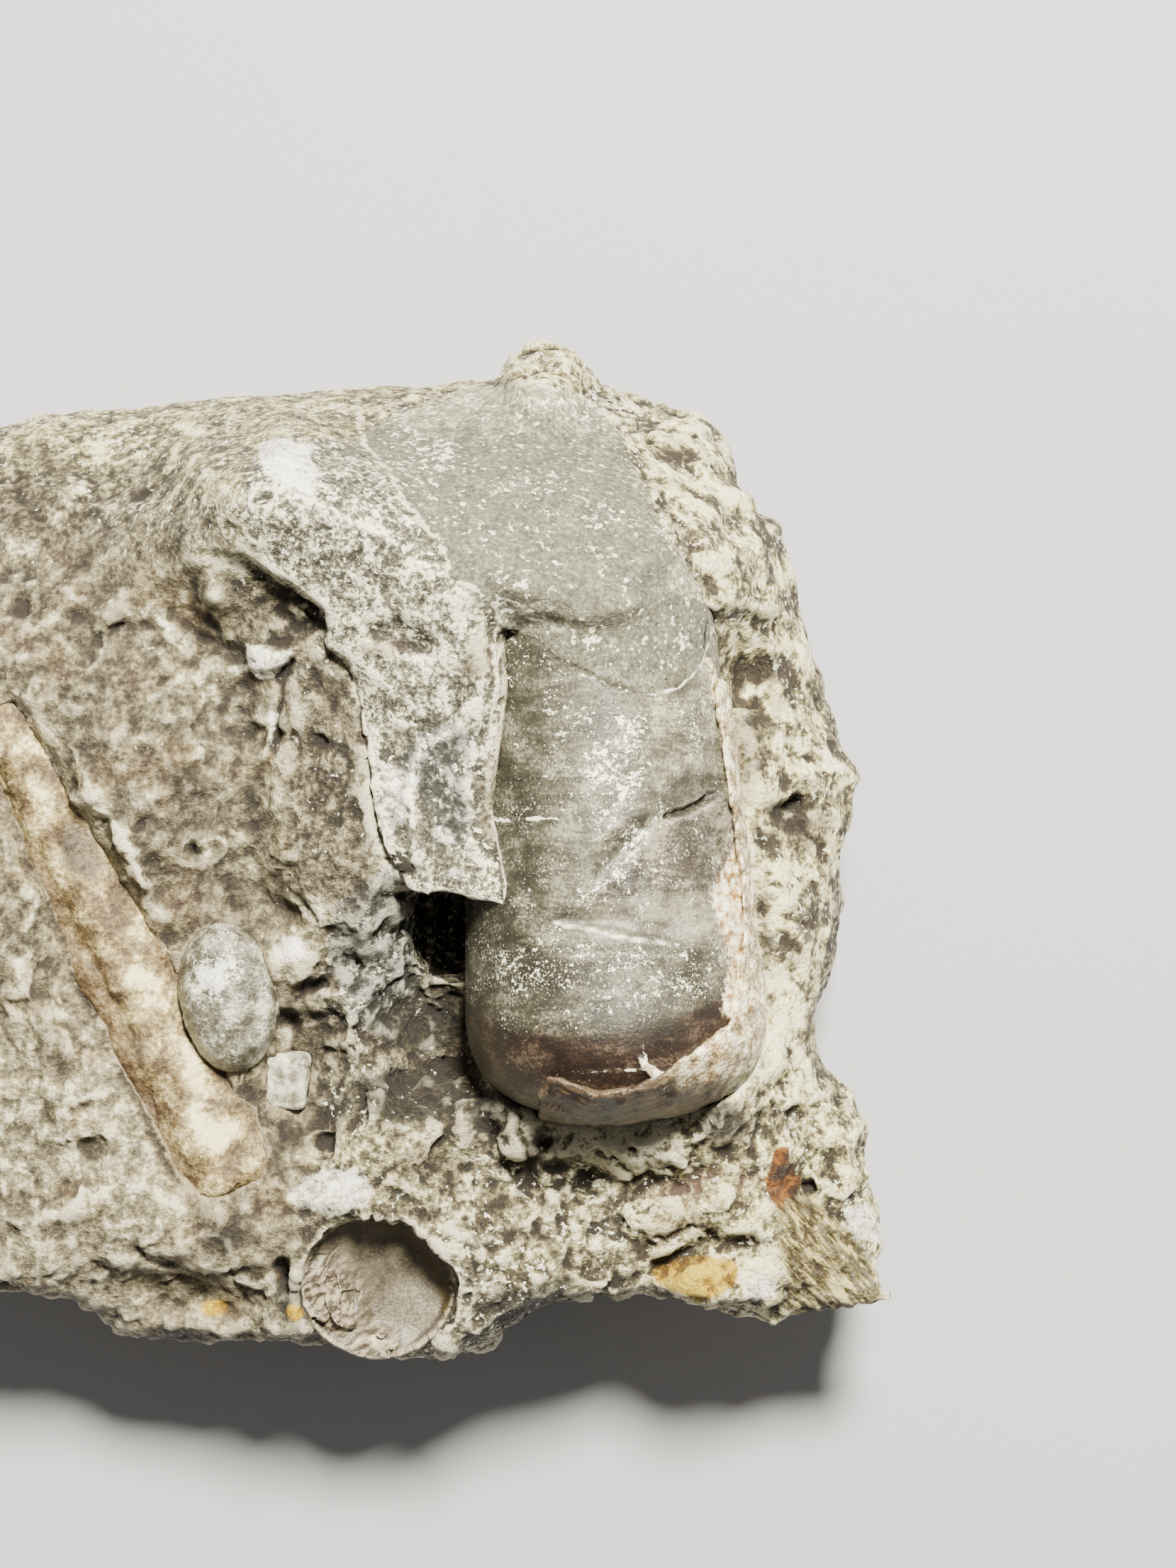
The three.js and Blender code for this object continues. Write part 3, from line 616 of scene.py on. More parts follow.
KNOBS = [
    # along the top
    ((-7.9, 17.2), (7, 4.6), 20, 1.5), ((24.9, 23.2), (1.4, 1.6), 0, 0.8), ((12.5, 26.6), (3, 1.4), 0, 0.8),
    ((20.9, 24), (2, 0.8), -20, 0.6), ((24.3, 17.2), (1.2, 2), 15, 0.6), ((-14.5, 20), (1.8, 1.4), 0, 0.5),
    # along the bottom
    ((0.7, -19.6), (2.2, 0.9), 10, 0.7), ((26.3, -16.8), (1.6, 1), 20, 0.4),
    ((29.1, -16), (1.8, 1.4), 20, 0.5), ((21.5, -20), (2.6, 1.2), 20, 0.5),
    ((7.5, -20), (2.4, 2.6), 0, 0.6), ((15.9, -22.4), (2.8, 1.2), 5, 0.6),
    ((-13.7, -20), (2.6, 1.4), 15, 0.6),
    # right of the orthocone
    ((25.9, -1.6), (1.5, 2.2), 0, 0.6),
    # the left field
    ((-5.8, 14.6), (1.5, 0.9), -25, 0.9), ((-5.9, 13.8), (1.6, 1), -30, 1.5),
    ((-6.1, 12.8), (2, 1.2), -30, 0.5), ((-10.7, -0.6), (1, 2.8), 25, 0.7),
    ((-15.7, -2.4), (1.6, 2.2), 25, 0.4), ((-11.7, 13.6), (2.2, 1), 40, 0.5),
    ((-4.9, 4.4), (1.6, 2.2), 0, 0.4),
    # the middle
    ((3.7, -1.7), (1.4, 1.2), 0, 0.6), ((-1.3, -5.8), (1.9, 1.7), 0, 0.5),
    ((-1.3, 8.4), (0.7, 2.6), 10, 0.5),
]

# Spots of colour: middle, radii, turn, share, and for some how much of the spot is flat.
# Lighter spots: paler stone, with painted light on places that lie in shade.
PALE = [
    # along the top
    ((-4.1, 16.4), (3, 1.8), -30, 1), ((-6.1, 16.2), (2.4, 1.6), -20, 0.9),
    ((-3.1, 15.4), (1.6, 1.4), -30, 0.6), ((21.3, 20.4), (2, 2.2), 0, 0.8),
    ((-16.9, 17.2), (1.6, 1.2), 0, 0.7), ((-7.2, 15.3), (0.3, 0.8), -20, 1),
    ((-7.1, 23.7), (1, 0.5), -20, 1), ((-12.1, 23), (1.4, 1.4), 0, 0.6), ((21.9, 24.4), (1.4, 1.2), 0, 0.8),
    ((21.9, 16.4), (1.6, 1), 0, 0.8),
    # along the bottom
    ((-15.3, -14.8), (2.8, 1.6), 0, 0.7), ((-13.7, -19.6), (2.4, 1.6), 10, 0.8),
    ((16.7, -18), (3, 1.6), 0, 0.8), ((17.1, -17), (4, 1.8), 5, 1.2), ((17.9, -20), (2.4, 1.2), 0, 0.7),
    ((-15.7, -15.6), (2.6, 1.8), 0, 0.6), ((-13.3, -20), (3, 1.8), 15, 0.6),
    ((24.3, -23.6), (3, 1.6), 0, 0.8), ((6.7, -21.2), (1.6, 2.4), 30, 0.5),
    ((-16.5, -15.6), (1.8, 1.2), 0, 0.8), ((-12.1, -16), (2.4, 1.2), 0, 0.6),
    ((-15.7, -20), (2, 1.6), 0, 0.5), ((-4.9, -16), (1.4, 1.2), 0, 0.5), ((3.1, -14.8), (0.9, 0.5), 20, 1),
    ((7.5, -17.6), (2, 0.9), 20, 0.6), ((27.9, -14.4), (1.6, 1.4), 0, 0.6),
    # right of the orthocone
    ((24.3, 12), (1.4, 1.8), 0, 0.9), ((27.3, 11.2), (0.7, 2.2), 20, 0.8),
    ((27.9, 4.8), (1.8, 0.7), 10, 0.8), ((26.3, -1.2), (1.8, 1), 0, 0.5),
    ((26.3, -11.2), (2.6, 3.6), -10, 1.1),
    # the left field
    ((-6.1, 9.6), (2.2, 1.8), 0, 0.8), ((-12.9, 2.2), (2, 1.6), 30, 0.9),
    ((-8.5, 12.8), (2.4, 1.4), 0, 0.4), ((-11.3, 1.2), (1.4, 1.8), 30, 1),
    ((-10.5, -1.6), (0.9, 1.6), 25, 0.7), ((-3.9, -1), (1.8, 1.4), 0, 0.9),
    ((-11, 14.5), (0.7, 0.4), -30, 1), ((-7.6, 13.6), (0.4, 0.7), 0, 0.8),
    ((-8.1, 10.8), (1.6, 0.8), -30, 0.5), ((-10.8, -0.2), (0.8, 3.6), 28, 0.8),
    ((-9.5, 3.2), (1, 1.6), 20, 0.5), ((-6.1, 0.8), (1, 1.6), 10, 0.5),
    ((-13.1, -11.2), (1.4, 1.8), 0, 0.8), ((-14.5, -10), (1.2, 0.8), 0, 0.6),
    # the middle
    ((-1.1, -4), (3, 1.8), 30, 1), ((2.7, -5.8), (3, 1.6), 30, 0.7), ((-2.1, 4.8), (1.4, 3), 0, 0.7),
    ((-1.4, -6), (2.2, 1.8), 0, 1.2), ((1.1, -5.2), (1.4, 2), 0, 0.6), ((4.1, 9.2), (2, 1.4), 0, 0.7),
    ((-1.3, 8), (1.4, 2.4), 0, 0.4), ((4.3, -1.8), (1.2, 0.7), 0, 0.6),
]
# Darker spots: brown patches of the stone, with painted shade on places that lie in shade.
MURKY = [
    # along the top
    ((-17.3, 19.8), (2.8, 2.4), 0, 1), ((-15.5, 22), (1.6, 1.6), 0, 0.7), ((-10.3, 20), (1.2, 0.6), 20, 1),
    ((-13.1, 17.2), (0.7, 1), 20, 0.6), ((19.5, 20.8), (1.6, 0.5), 0, 0.5),
    ((20.3, 22.8), (1.4, 1), -30, 0.5),
    # along the bottom
    ((-12.1, -22), (1, 0.6), 0, 0.3), ((-17.1, -20), (1.8, 1.6), 0, 0.7), ((23.1, -15.4), (2.6, 2.4), 0, 1),
    ((-5.5, -21.6), (2.4, 1.8), 0, 1.2), ((5.9, -17.6), (3.2, 1.8), 10, 0.9),
    ((26.7, -20), (2.4, 1.6), 0, 0.5), ((-1.7, -14.8), (2, 1.4), 0, 0.9), ((0.5, -15.6), (1.6, 2), 0, 0.9),
    ((8.3, -18.2), (1.2, 0.4), 30, 0.8),
    # right of the orthocone
    ((23.9, 5.6), (2.2, 4), 0, 1.2), ((27.5, 1.4), (2, 2.2), 0, 1), ((27.9, 8.8), (1, 2.4), 0, 0.6),
    ((23.1, 9.6), (1, 3), 0, 0.4), ((25.5, 8.8), (1.2, 2), 0, 0.7), ((25.9, 2.2), (2.4, 0.9), 0, 1),
    ((25.1, -4.8), (0.8, 1.8), 0, 0.9), ((26.7, -6), (1.2, 1.8), 20, 0.6),
    # the left field
    ((-7.9, 4), (2.8, 1.8), 0, 1), ((-6.5, -4), (2.4, 1.4), -20, 0.8), ((-17.3, 2.4), (2, 2.4), 0, 0.6),
    ((-17.2, 13.6), (0.7, 2.2), 0, 0.8), ((-11.4, 13.3), (1.4, 0.9), 30, 0.6),
    ((-6.1, 12), (2.2, 0.6), -28, 1), ((-10.6, 7.3), (0.5, 1), 20, 0.8),
    ((-7.3, 4.4), (2.4, 1.4), -10, 0.6), ((-12.1, 8), (1, 1.6), 0, 0.4), ((-6.1, -1), (2.4, 1.2), -30, 0.7),
    ((-5.3, -3.6), (1.6, 1.4), 0, 0.9), ((-8.7, -4.8), (1.6, 1.2), -30, 0.8),
    ((-15.7, -9.6), (1.2, 1.8), 30, 0.7), ((-14.9, -12), (1.6, 1.4), 0, 0.6),
    ((-12.1, -13), (1.4, 0.7), 0, 0.6),
    # the middle
    ((4.5, 11.8), (2.4, 0.9), 10, 0.7), ((5.9, 2), (2.6, 3.4), 0, 0.4), ((7.1, -1), (2.2, 0.9), 0, 0.6),
    ((-1.2, 9.4), (1.8, 1.4), 0, 0.7), ((3.7, 11.6), (2.6, 1.2), 10, 0.8),
    ((5.3, 1.6), (2.6, 3.6), 0, 0.55), ((4.3, 6.4), (1.8, 1.6), 0, 0.6), ((8.9, 10.8), (1.8, 2.6), 0, 0.75),
    ((9.6, 3.2), (1.2, 3), 0, 0.7), ((4.3, -9.2), (2.2, 1.4), 0, 0.6), ((0.5, -10.8), (1.4, 3), 10, 0.8),
    ((-1.9, -9.4), (1, 1.6), 20, 0.8), ((7.5, -12), (3.4, 1.4), 20, 0.8),
]
# Painted shade, almost black: in the valley under the large orthocone's end, along the bottom edge and in a
# few hollows.
PAINTED_SHADE = [
    ((4.9, -13.6), (5.4, 2.6), 8, 1), ((5.9, -14.2), (3, 1.6), 8, 1), ((6.3, -9.6), (3.4, 3), 10, 0.7),
    ((9.9, -14.4), (2.8, 1.6), 30, 1), ((11.9, -17.6), (0.9, 3.6), -15, 0.7),
    ((-1.1, -25.4), (2.4, 2.2), 0, 1), ((-8.5, -27.6), (3.6, 1.6), 0, 0.7),
    ((11.7, -25.4), (4.6, 1.8), 12, 1), ((0.7, -14.4), (2.6, 1.8), 0, 0.6),
    ((22.7, -15.2), (2.4, 2), 10, 0.7), ((-5.3, -21.8), (2, 1.4), 0, 0.5),
    ((-14.1, -1.4), (1.2, 1.6), 0, 0.6),
]
SPARRY = [
    ((0.6, -19.2), (3.4, 1.9), 10, 1), ((-1.7, -5.4), (1.7, 1.3), 0, 0.9), ((4, 3.2), (0.9, 2), 0, 0.7),
    ((7.5, -1.4), (1.6, 0.8), 0, 0.6), ((6.8, 1), (1.3, 1.3), 0, 0.7, 0.3),
    ((24.7, -24.8), (1.6, 1.2), 0, 0.9, 0.3), ((-5.1, -18), (0.5, 1), -30, 0.6, 0.3),
    ((-7.3, 15.4), (0.4, 0.9), -20, 0.5, 0.3),
]
STAINED = [((-6.2, -25.8), (1.4, 0.8), 0, 0.9), ((-1.3, -26.3), (0.9, 0.7), 0, 0.9)]
DIRTY = [
    ((-1.9, -8.8), (1.6, 2.6), 25, 0.8, 0.3), ((-0.5, -7.6), (2, 1.2), 20, 0.8, 0.3),
    ((-0.9, -16), (2, 1.6), 0, 0.8, 0.3), ((-15.4, 22.2), (2.6, 1.8), 0, 0.6),
    ((-9.9, 21), (1.4, 1.2), 0, 0.6), ((-14.1, -11.2), (2, 2.6), 0, 0.5),
    ((-6.1, -1.6), (2.4, 2.4), 0, 0.6),
]
GLINTS = [
    ((19.3, 11.8), (2.6, 1.8), 20, 1), ((11.7, 13.2), (1, 1), 0, 1), ((6.3, 22.4), (2.4, 2.4), 0, 0.8),
    ((15.9, 25.2), (2.6, 1.4), 0, 0.6), ((19.1, 19.2), (1.2, 2.4), 0, 0.7), ((14.7, 12), (2, 1.6), 0, 0.5),
]
SPECKLED = [
    ((16.8, 5), (2.6, 4.4), -12, 1, 0.35), ((10.5, -10), (1.4, 1.2), 0, 0.3),
    ((20.7, 6.8), (1.8, 3.4), 0, 0.4), ((13.9, 7.6), (2.4, 1.2), 0, 0.5), ((20.3, -6), (3, 2), 0, 0.5),
]
SHADED = [
    ((17.3, -0.4), (1.4, 2.8), -42, 0.6, 0), ((11.1, 9.6), (2.2, 3.8), 10, 0.85),
    ((10.5, 3.2), (1.6, 3.4), 0, 0.5), ((16.8, -1.1), (2.8, 1.3), -35, 1),
    ((12.3, -6.8), (4.6, 1.8), 0, 0.95, 0.2), ((18.7, -9.8), (3.6, 1.6), 10, 0.9),
]
ROD_PALE = [
    ((-9.9, -7.6), (1.4, 3), 25, 0.8), ((-7.5, -12), (1.2, 3.2), 20, 0.8),
    ((-5.7, -15.6), (2.4, 1.6), 0, 1), ((-15.7, 2.8), (1, 2), 25, 0.6),
]
# Brown patches on the small orthocone, with painted shade at its left edge.
ROD_DIRT_AND_SHADE = [
    ((-13.6, 0), (1.7, 2.8), 25, 1, 0.3), ((-10.2, -11.2), (0.7, 2), 20, 0.8),
    ((-8.5, -14.8), (0.9, 1.4), 0, 0.5), ((-4.9, -19.6), (1.6, 1.2), 0, 0.5),
]
BRIGHT = [((-6.2, -7.2), (1.5, 1.9), 10, 1), ((-4.7, -6.6), (0.8, 1.4), 30, 0.8)]
FILL = [((-0.1, -25.6), (3.2, 4.2), 20, 1, 0.3), ((2.7, -28.2), (3.6, 1.8), 0, 1)]
STRANDS = [((0.1, -25.6), (3.4, 3.8), 20, 1, 0.3), ((2.7, -27.8), (3.4, 1.8), 0, 1)]


# ---------------------------------------------------------------- the stone


def zones(points):
    """How much of each kind of surface there is at each point."""
    at = ragged(points)
    wide = seen(points) + 0.5 * drift(points, 3, 15)
    x, y = wide.T
    skin = patch(at, SKIN, 0.8)
    crown = patch(wide, CROWN, 1.6)
    plate = patch(at, PLATE, 0.5)
    cream = either(
        patch(wide, CREAM, 2.5) * smooth((points[:, 2] - 9) / 3),
        smooth((points[:, 1] - 17) / 8) * 0.6,
        0.4 * patch(wide, LOWER_MIDDLE, 2.5),
    )
    hollow = patch(wide, HOLLOW, 1.6)
    left = either(smooth((1.5 - x) / 4) * smooth((20 - y) / 6), patch(wide, LOWER_LEFT, 3.0))
    return {
        "skin": skin,
        "plate": plate * (1 - skin),
        "crown": crown * (1 - skin) * (1 - plate),
        "cream": cream * (1 - skin) * (1 - plate),
        "hollow": hollow * (1 - plate),
        "left": left * (1 - plate) * (1 - hollow),
    }


def pull_flake(clay, open_face):
    """Runs the flake's upper face smoothly into the dome, and the dome into the field beside it."""
    at = seen(clay.points)
    x, y = at.T
    up = y - 5
    level = 25.5 + 0.27 * (x - 6.5) + 0.2 * up + 0.012 * up.clip(0) ** 2
    broken_edge = either(patch(at, PLATE, 0.4), patch(at, SKIN, 0.4))
    above_break = smooth((y - 15.2) / 1.6)
    sharp = patch(at, FLAKE_BLEND, 2.5) * broken_edge
    share = (sharp + (patch(at, FLAKE_BLEND, 7.0) - sharp) * above_break) * open_face
    z = clay.points[:, 2]
    clay.points[:, 2] = z + share * (level.clip(None, STONE_TOP) - z)


def stretch_lip(clay):
    """Draws the dome's broken lip over the orthocone into a round tongue, and down on to it."""
    points = clay.points
    at = seen(points)
    above = smooth((points[:, 2] - 23.2) / 1.2)
    points[:, 1] -= 1.1 * spot(at, (19.5, 10.6), (3.6, 3.0), -15, 0.25) * above
    droop = smooth(1 - inside(at, SKIN) / 3.0) * spot(at, (11.7, 12.8), (4.2, 3.0), -20, 0.3)
    points[:, 2] -= 1.7 * droop * smooth((points[:, 2] - 21.5) / 2)


def draw_out_edges(clay):
    """The knob on the stone's upper edge, its upper left edge and the points on its right."""
    points = clay.points
    at = seen(points)
    x, y = at.T
    knob = spot(at, (12.7, 26.4), (2.9, 3.2), 0, 0.55) * smooth((points[:, 2] - 2) / 5)
    points[:, 1] += 1.05 * knob + 0.8 * smooth((-10 - x) / 6) * smooth((y - 15) / 8)
    points[:, 2] += 0.4 * knob
    step = spot(at, (1.2, -14.4), (2.0, 4.2), 0, 0.35) * smooth((points[:, 2] - 8) / 2)
    points[:, 0] += 0.8 * step * waves(points, 1.7, 93)
    tip = spot(at, (31.3, -25), (1.8, 1.3), -30)
    points[:, 0] += 1.0 * tip + 0.5 * spot(at, (30.1, 4.6), (1.6, 1.6), 0, 0.2)
    points[:, 1] += 0.8 * spot(at, (13.9, -26.4), (5.0, 2.2), 12, 0.3) - 0.3 * tip


def flake_relief(at):
    """The flake's thin rim, its ridge and dents, and the veins that stand out."""
    rim = to_path(at, FLAKE_RIM)
    near_rim = smooth(1 - (np.abs(rim) - 0.6) / 0.35) * (rim < 0.3) * patch(at, PLATE)
    rise = 0.45 * line(at, FLAKE_RIDGE, 0.8) - 0.6 * near_rim
    rise -= 0.5 * patch(at, FLAKE_BLUE, 2.4)
    rise -= 0.6 * patch(at, FLAKE_DENT, 0.5)
    rise -= 0.4 * line(at, FLAKE_CRACK, 0.22)
    for vein, height in ((MAIN_VEIN, 0.14), (LEFT_LOOP, 0.08), (RIGHT_LOOP, 0.1), (BEAD_VEIN, 0.06)):
        rise += height * line(at, vein, 0.25)
    return rise


def left_relief(at, points):
    """The ridges and chip left of the flake, and the field filled up to its edge."""
    rise = 0.5 * line(at, SCOOP_RIM, 1.0) + 0.35 * line(at, DIAGONAL, 0.7)
    rise += 0.7 * patch(at, CHIP, 0.3) + 0.5 * patch(at, SLIVER, 0.25)
    rise -= 1.3 * line(at, CHIP_CRACK, 0.42)
    rise += 0.7 * line(at, SECOND_RIB, 1.1)
    by_edge = smooth(1.5 - from_path(at, FLAKE_EDGE))
    filled = either(smooth(inside(at, HOLLOW) / 2.5 + 1), by_edge) * (1 - patch(at, CAVITY, 1.2))
    beside = (-inside(at, PLATE)).clip(-0.5, 5)
    level = 24.4 - 0.4 * beside - 0.7 * spot(at, (-1.1, 13.6), (1.8, 1.6), -30, 0.1)
    return rise + 0.93 * filled * (level - points[:, 2]).clip(0, 7)


def carve_face(clay, open_face):
    """The ledges, cracks, pits and lumps of the face."""
    at = ragged(clay.points)
    rise = flake_relief(at) + left_relief(at, clay.points)
    rise += 3.4 * patch(at, BELOW_END, 2.4)
    rise -= 0.9 * ledge(at, OVERHANG, 0.8)
    rise -= 1.0 * ledge(at, STEP, 0.7)
    rise -= 0.6 * line(at, SEAM, 0.4)
    for middle, radii, turn, depth in PITS:
        rise -= depth * spot(at, middle, radii, turn, 0.35 if max(radii) < 0.8 else 0.0)
    for middle, radii, turn, height in KNOBS:
        rise += height * spot(at, middle, radii, turn, 0.2)
    clay.points[:, 2] += rise * open_face


def fill_notch(clay):
    """Closes the narrow parting between the plate and the field on its left."""
    at = seen(clay.points)
    z = clay.points[:, 2]
    near = smooth(1.6 - from_path(at, FLAKE_EDGE) / 0.8) * (1 - patch(at, CAVITY, 0.7))
    near = near * smooth(-inside(at, PLATE) / 0.4 + 1.8) * smooth((z - 9) / 2)
    level = 24.2 - 1.3 * smooth((at[:, 1] - 15.2) / 1.6)
    clay.points[:, 2] = z + near * (level - z).clip(0, 12)


def thin_lip(clay, core):
    """Lets the skin's lower edge run out to nothing on the mould."""
    at = seen(clay.points)
    above = smooth((at[:, 1] - 10.6) / 4.4)
    left = 1 - smooth((at[:, 0] - 9.9) / 2.0)
    share = either(smooth((inside(at, SKIN) - 0.7) / 5.5), above, left)
    for i in np.flatnonzero((share < 1) & (clay.points[:, 2] > 18)):
        x, y, z = clay.points[i]
        place = core.ray_cast(Vector((x, y, 40)), Vector((0, 0, -1)))[0]
        if place is not None and z > place.z - 0.4:
            clay.points[i, 2] = place.z + (z - place.z) * (0.03 + 0.97 * share[i])


def close_partings(clay, fossils):
    """Brings the stone up to the fossils that it holds."""
    for i, point in enumerate(clay.points):
        place, _, _, distance = fossils.find_nearest(Vector(point), PARTING)
        if place is not None:
            share = 0.95 * smooth((PARTING - distance) / (PARTING / 2))
            clay.points[i] += (np.array(place) - point) * share


def break_stone(clay, open_face, fossils):
    """Roughens the stone: soft lumps, sharp breaks between them, and grains."""
    points = clay.points
    at = seen(points)
    kinds = zones(points)
    hidden = 1 - (gaps(fossils, points, 2 * SOCKET) / SOCKET - 1).clip(0)
    slope = patch(at, SLOPE, 2.0) * open_face
    flank = patch(at, FLANK, 1.5)
    even = (0.8 * kinds["plate"], 0.75 * kinds["crown"], 0.4 * kinds["hollow"], 0.6 * slope)
    rough = 1 - either(kinds["skin"], *even, hidden)
    soft = either(0.5 * kinds["left"] * open_face, 0.7 * flank)
    bent = points + 0.6 * drift(points, 1.9, 21, 3)
    height = rough * (0.3 - 0.16 * soft) * chips(bent, 2.4, 31)
    height += rough * (0.2 - 0.12 * soft) * chips(bent, 1.15, 41)
    height += rough * (0.46 - 0.3 * flank) * (np.abs(lumps(bent, 2.8, 3, 51)) - 0.35)
    height += rough * (0.2 - 0.14 * flank) * (np.abs(lumps(bent, 1.1, 2, 56)) - 0.35)
    height += flank * (0.4 * waves(points, 3.4, 63) + 0.16 * waves(points, 1.5, 64))
    height += rough * 0.3 * lumps(points, 4.2, 2, 61) * (1 - 0.6 * open_face)
    height += 0.05 * kinds["skin"] * lumps(points, 1.6, 3, 71)
    height += 0.1 * kinds["plate"] * lumps(bent, 0.9, 2, 81)
    height += 0.12 * kinds["crown"] * lumps(bent, 1.8, 2, 86)
    across_fibres = at @ np.array([0.74, 0.67])
    strands = np.sin(across_fibres * 8 + 3.5 * waves(points, 1.5, 91))
    height += 0.1 * patch(at, FIBRES, 0.8) * strands
    low = smooth((4.0 - points[:, 2]) / 3)
    keep_base = smooth(points[:, 2] / 1.2)
    clay.swell(height * keep_base * (1 - hidden) * (1 - 0.4 * low))
    points[:, 2] = points[:, 2].clip(0)


def stone_pale(at, soft, murky):
    """Lighter ground, not where it is murky: paler stone, with painted light on the flake's rim, the lower
    left and places in shade.
    """
    y = soft[:, 1]
    return either(
        0.5 * line(at, FLAKE_RIM, 0.5),
        0.7 * patch(soft, LOWER_LEFT, 3.0) * (1 - murky),
        0.45 * patch(soft, PLATE, 2.0) * smooth((17 - y) / 3) * smooth((y - 4) / 4),
        spots(soft, PALE),
    )


def stone_dirt_and_shade(soft, murky, hollow, joint):
    """Brown soil and painted shade: in the hollow, the valley, the low ground, along the small orthocone
    and at the joints.
    """
    x, y = soft.T
    return either(
        0.6 * hollow * (1 - 0.8 * spot(soft, (-4.9, 16), (3.4, 2.2), -20, 0.2)),
        murky,
        spots(soft, DIRTY),
        0.8 * line(soft, ROD_LINE, 0.9),
        0.6 * patch(soft, VALLEY, 2.0),
        0.7 * line(soft, FLAKE_RIM, 0.5) * smooth((4.5 - y) / 2),
        0.5 * smooth((-18 - y) / 6) * smooth((2 - x) / 6),
        0.9 * smooth((joint - 0.4) / 0.4) * smooth((2 - x) / 2),
    )


def stone_spar(at, soft, z):
    """White spar: the chalky patch, the chip beside the flake, and glints on it."""
    return either(
        patch(soft, CHALK, 1.0) * smooth((z - 19.5) / 4),
        patch(at, CHIP, 0.4),
        patch(at, SLIVER, 0.3),
        patch(at, TOOTH),
        0.6 * patch(soft, FLAKE_SHINE, 0.8),
        0.8 * line(at, FLAKE_RIDGE, 0.25),
        0.6 * line(at, FLAKE_STREAK, 0.3),
        0.5 * line(soft, SCOOP_RIM, 0.7),
        spots(soft, SPARRY),
    )


def paint_stone(clay, fossils):
    """Stores the kinds of surface on the finished stone, and where light and shade are painted on it."""
    points = clay.points
    at = ragged(points)
    soft = seen(points) + 0.4 * drift(points, 2, 17)
    x, y = soft.T
    kinds = zones(points)
    hollow = kinds.pop("hollow")
    murky = spots(soft, MURKY)
    joint = 1 - gaps(fossils, points, JOINT) / JOINT
    loops = ((LEFT_LOOP, 0.12), (RIGHT_LOOP, 0.1), (BEAD_VEIN, 0.13))
    # painted light on the dome: towards its top, on its right and on the tongue under its lip
    by_dome = 0.8 * smooth((x - 17 + 0.2 * (y - 20)) / 3) * (y > 14)
    by_tongue = spot(soft, (12.6, 13.3), (2.6, 1.1), -12, 0.2)
    bluish = spot(soft, (3.7, -1.7), (1.6, 1.3), 0, 0.3)
    rusty = spot(soft, (29.1, -16.4), (1.2, 0.6), 0, 0.2)
    paint(
        clay,
        **kinds,
        # paler stone and painted light
        pale=stone_pale(at, soft, murky),
        vein=veins(at, (MAIN_VEIN, 0), *loops, (RIM_VEIN, 0.12), (TOP_VEIN, 0.05)),
        spar=stone_spar(at, soft, points[:, 2]),
        blue=either(patch(soft, BLUE_WALL, 1.2), 0.9 * patch(soft, FLAKE_BLUE, 1.4), 0.8 * bluish),
        stain=either(patch(at, YELLOW, 0.9), spots(soft, STAINED)),
        # brown soil and painted shade
        dirt=stone_dirt_and_shade(soft, murky, hollow, joint),
        rust=either(patch(at, RUST, 0.5), 0.5 * rusty),
        fibre=patch(soft, FIBRES, 2.2),
        pink=0.8 * patch(soft, PINK, 1.5),
        flank=patch(soft, FLANK, 2.0),
        joint=joint,
        # painted shade, almost black
        grime=spots(soft, PAINTED_SHADE, 0.1),
        glow=either(by_tongue, smooth((y - 21.5) / 5), by_dome),
        glint=spots(soft, GLINTS),
        worn=clay.worn(6),
        swell=clay.worn(40),
    )


def limestone(fossils, core):
    """The stone: the flake, the ledges and breaks, closed up to its fossils."""
    clay = clay_of("limestone_matrix", STONE_GRAIN, 0.0, 48)
    open_face = clay.open_to_camera()
    pull_flake(clay, open_face)
    stretch_lip(clay)
    draw_out_edges(clay)
    carve_face(clay, open_face)
    fill_notch(clay)
    clay.relax(2)
    thin_lip(clay, core)
    close_partings(clay, fossils)
    break_stone(clay, open_face, fossils)
    clay.relax(1, 0.6)
    coarse = (1 - open_face) * 0.6 + 0.4 * (clay.points[:, 2] < 1)
    clay = thinned(clay, STONE_TRIANGLES, coarse.clip(0, 1))
    paint_stone(clay, fossils)
    mesh, finish = clay.mesh, stone_finish()
    return placed("limestone_matrix_stone", mesh, "limestone", finish, "limestone_matrix")


# ---------------------------------------------------------------- the fossils


def carve_mould(clay):
    """The chipped side, the groove and the edges of the large orthocone."""
    points = clay.points
    at = ragged(points, 0.1)
    ridge = to_path(at, RIDGE)
    facet = smooth(ridge / 0.25) * smooth((2.6 - ridge) / 2.4)
    rise = 0.05 * lumps(points, 3.5, 3, 101)
    rise -= 0.5 * patch(at, FLAT_SIDE, 1.8) * smooth(ridge / 0.6 + 0.2)
    rise -= 0.32 * facet * smooth(inside(at, FACET) / 0.8 + 0.5)
    rise -= 0.7 * patch(at, GROOVE, 1.3)
    rise -= 0.35 * patch(at, LOWER_FACET, 0.7)
    rise -= 0.7 * line(at, GROOVE_CRACK, 0.3)
    rise *= smooth((from_path(at, EDGE_LINE) - 0.1) / 0.9)
    rise += 0.25 * patch(at, END_CHIP, 0.2)
    rise += 0.07 * chips(points, 0.8, 111) * patch(at, FLAT_SIDE, 1.0)
    rise += 0.14 * patch(at, EDGE_BAND, 0.9) + 0.12 * line(at, EDGE_LINE, 0.4)
    rise += 0.16 * patch(at, SKIN, 0.16)
    rise -= 0.35 * spot(at, (17, -0.2), (1.1, 2.4), -42, 0.1)
    clay.swell(rise * (points[:, 2] > 17))
    clay.relax(1, 0.3)


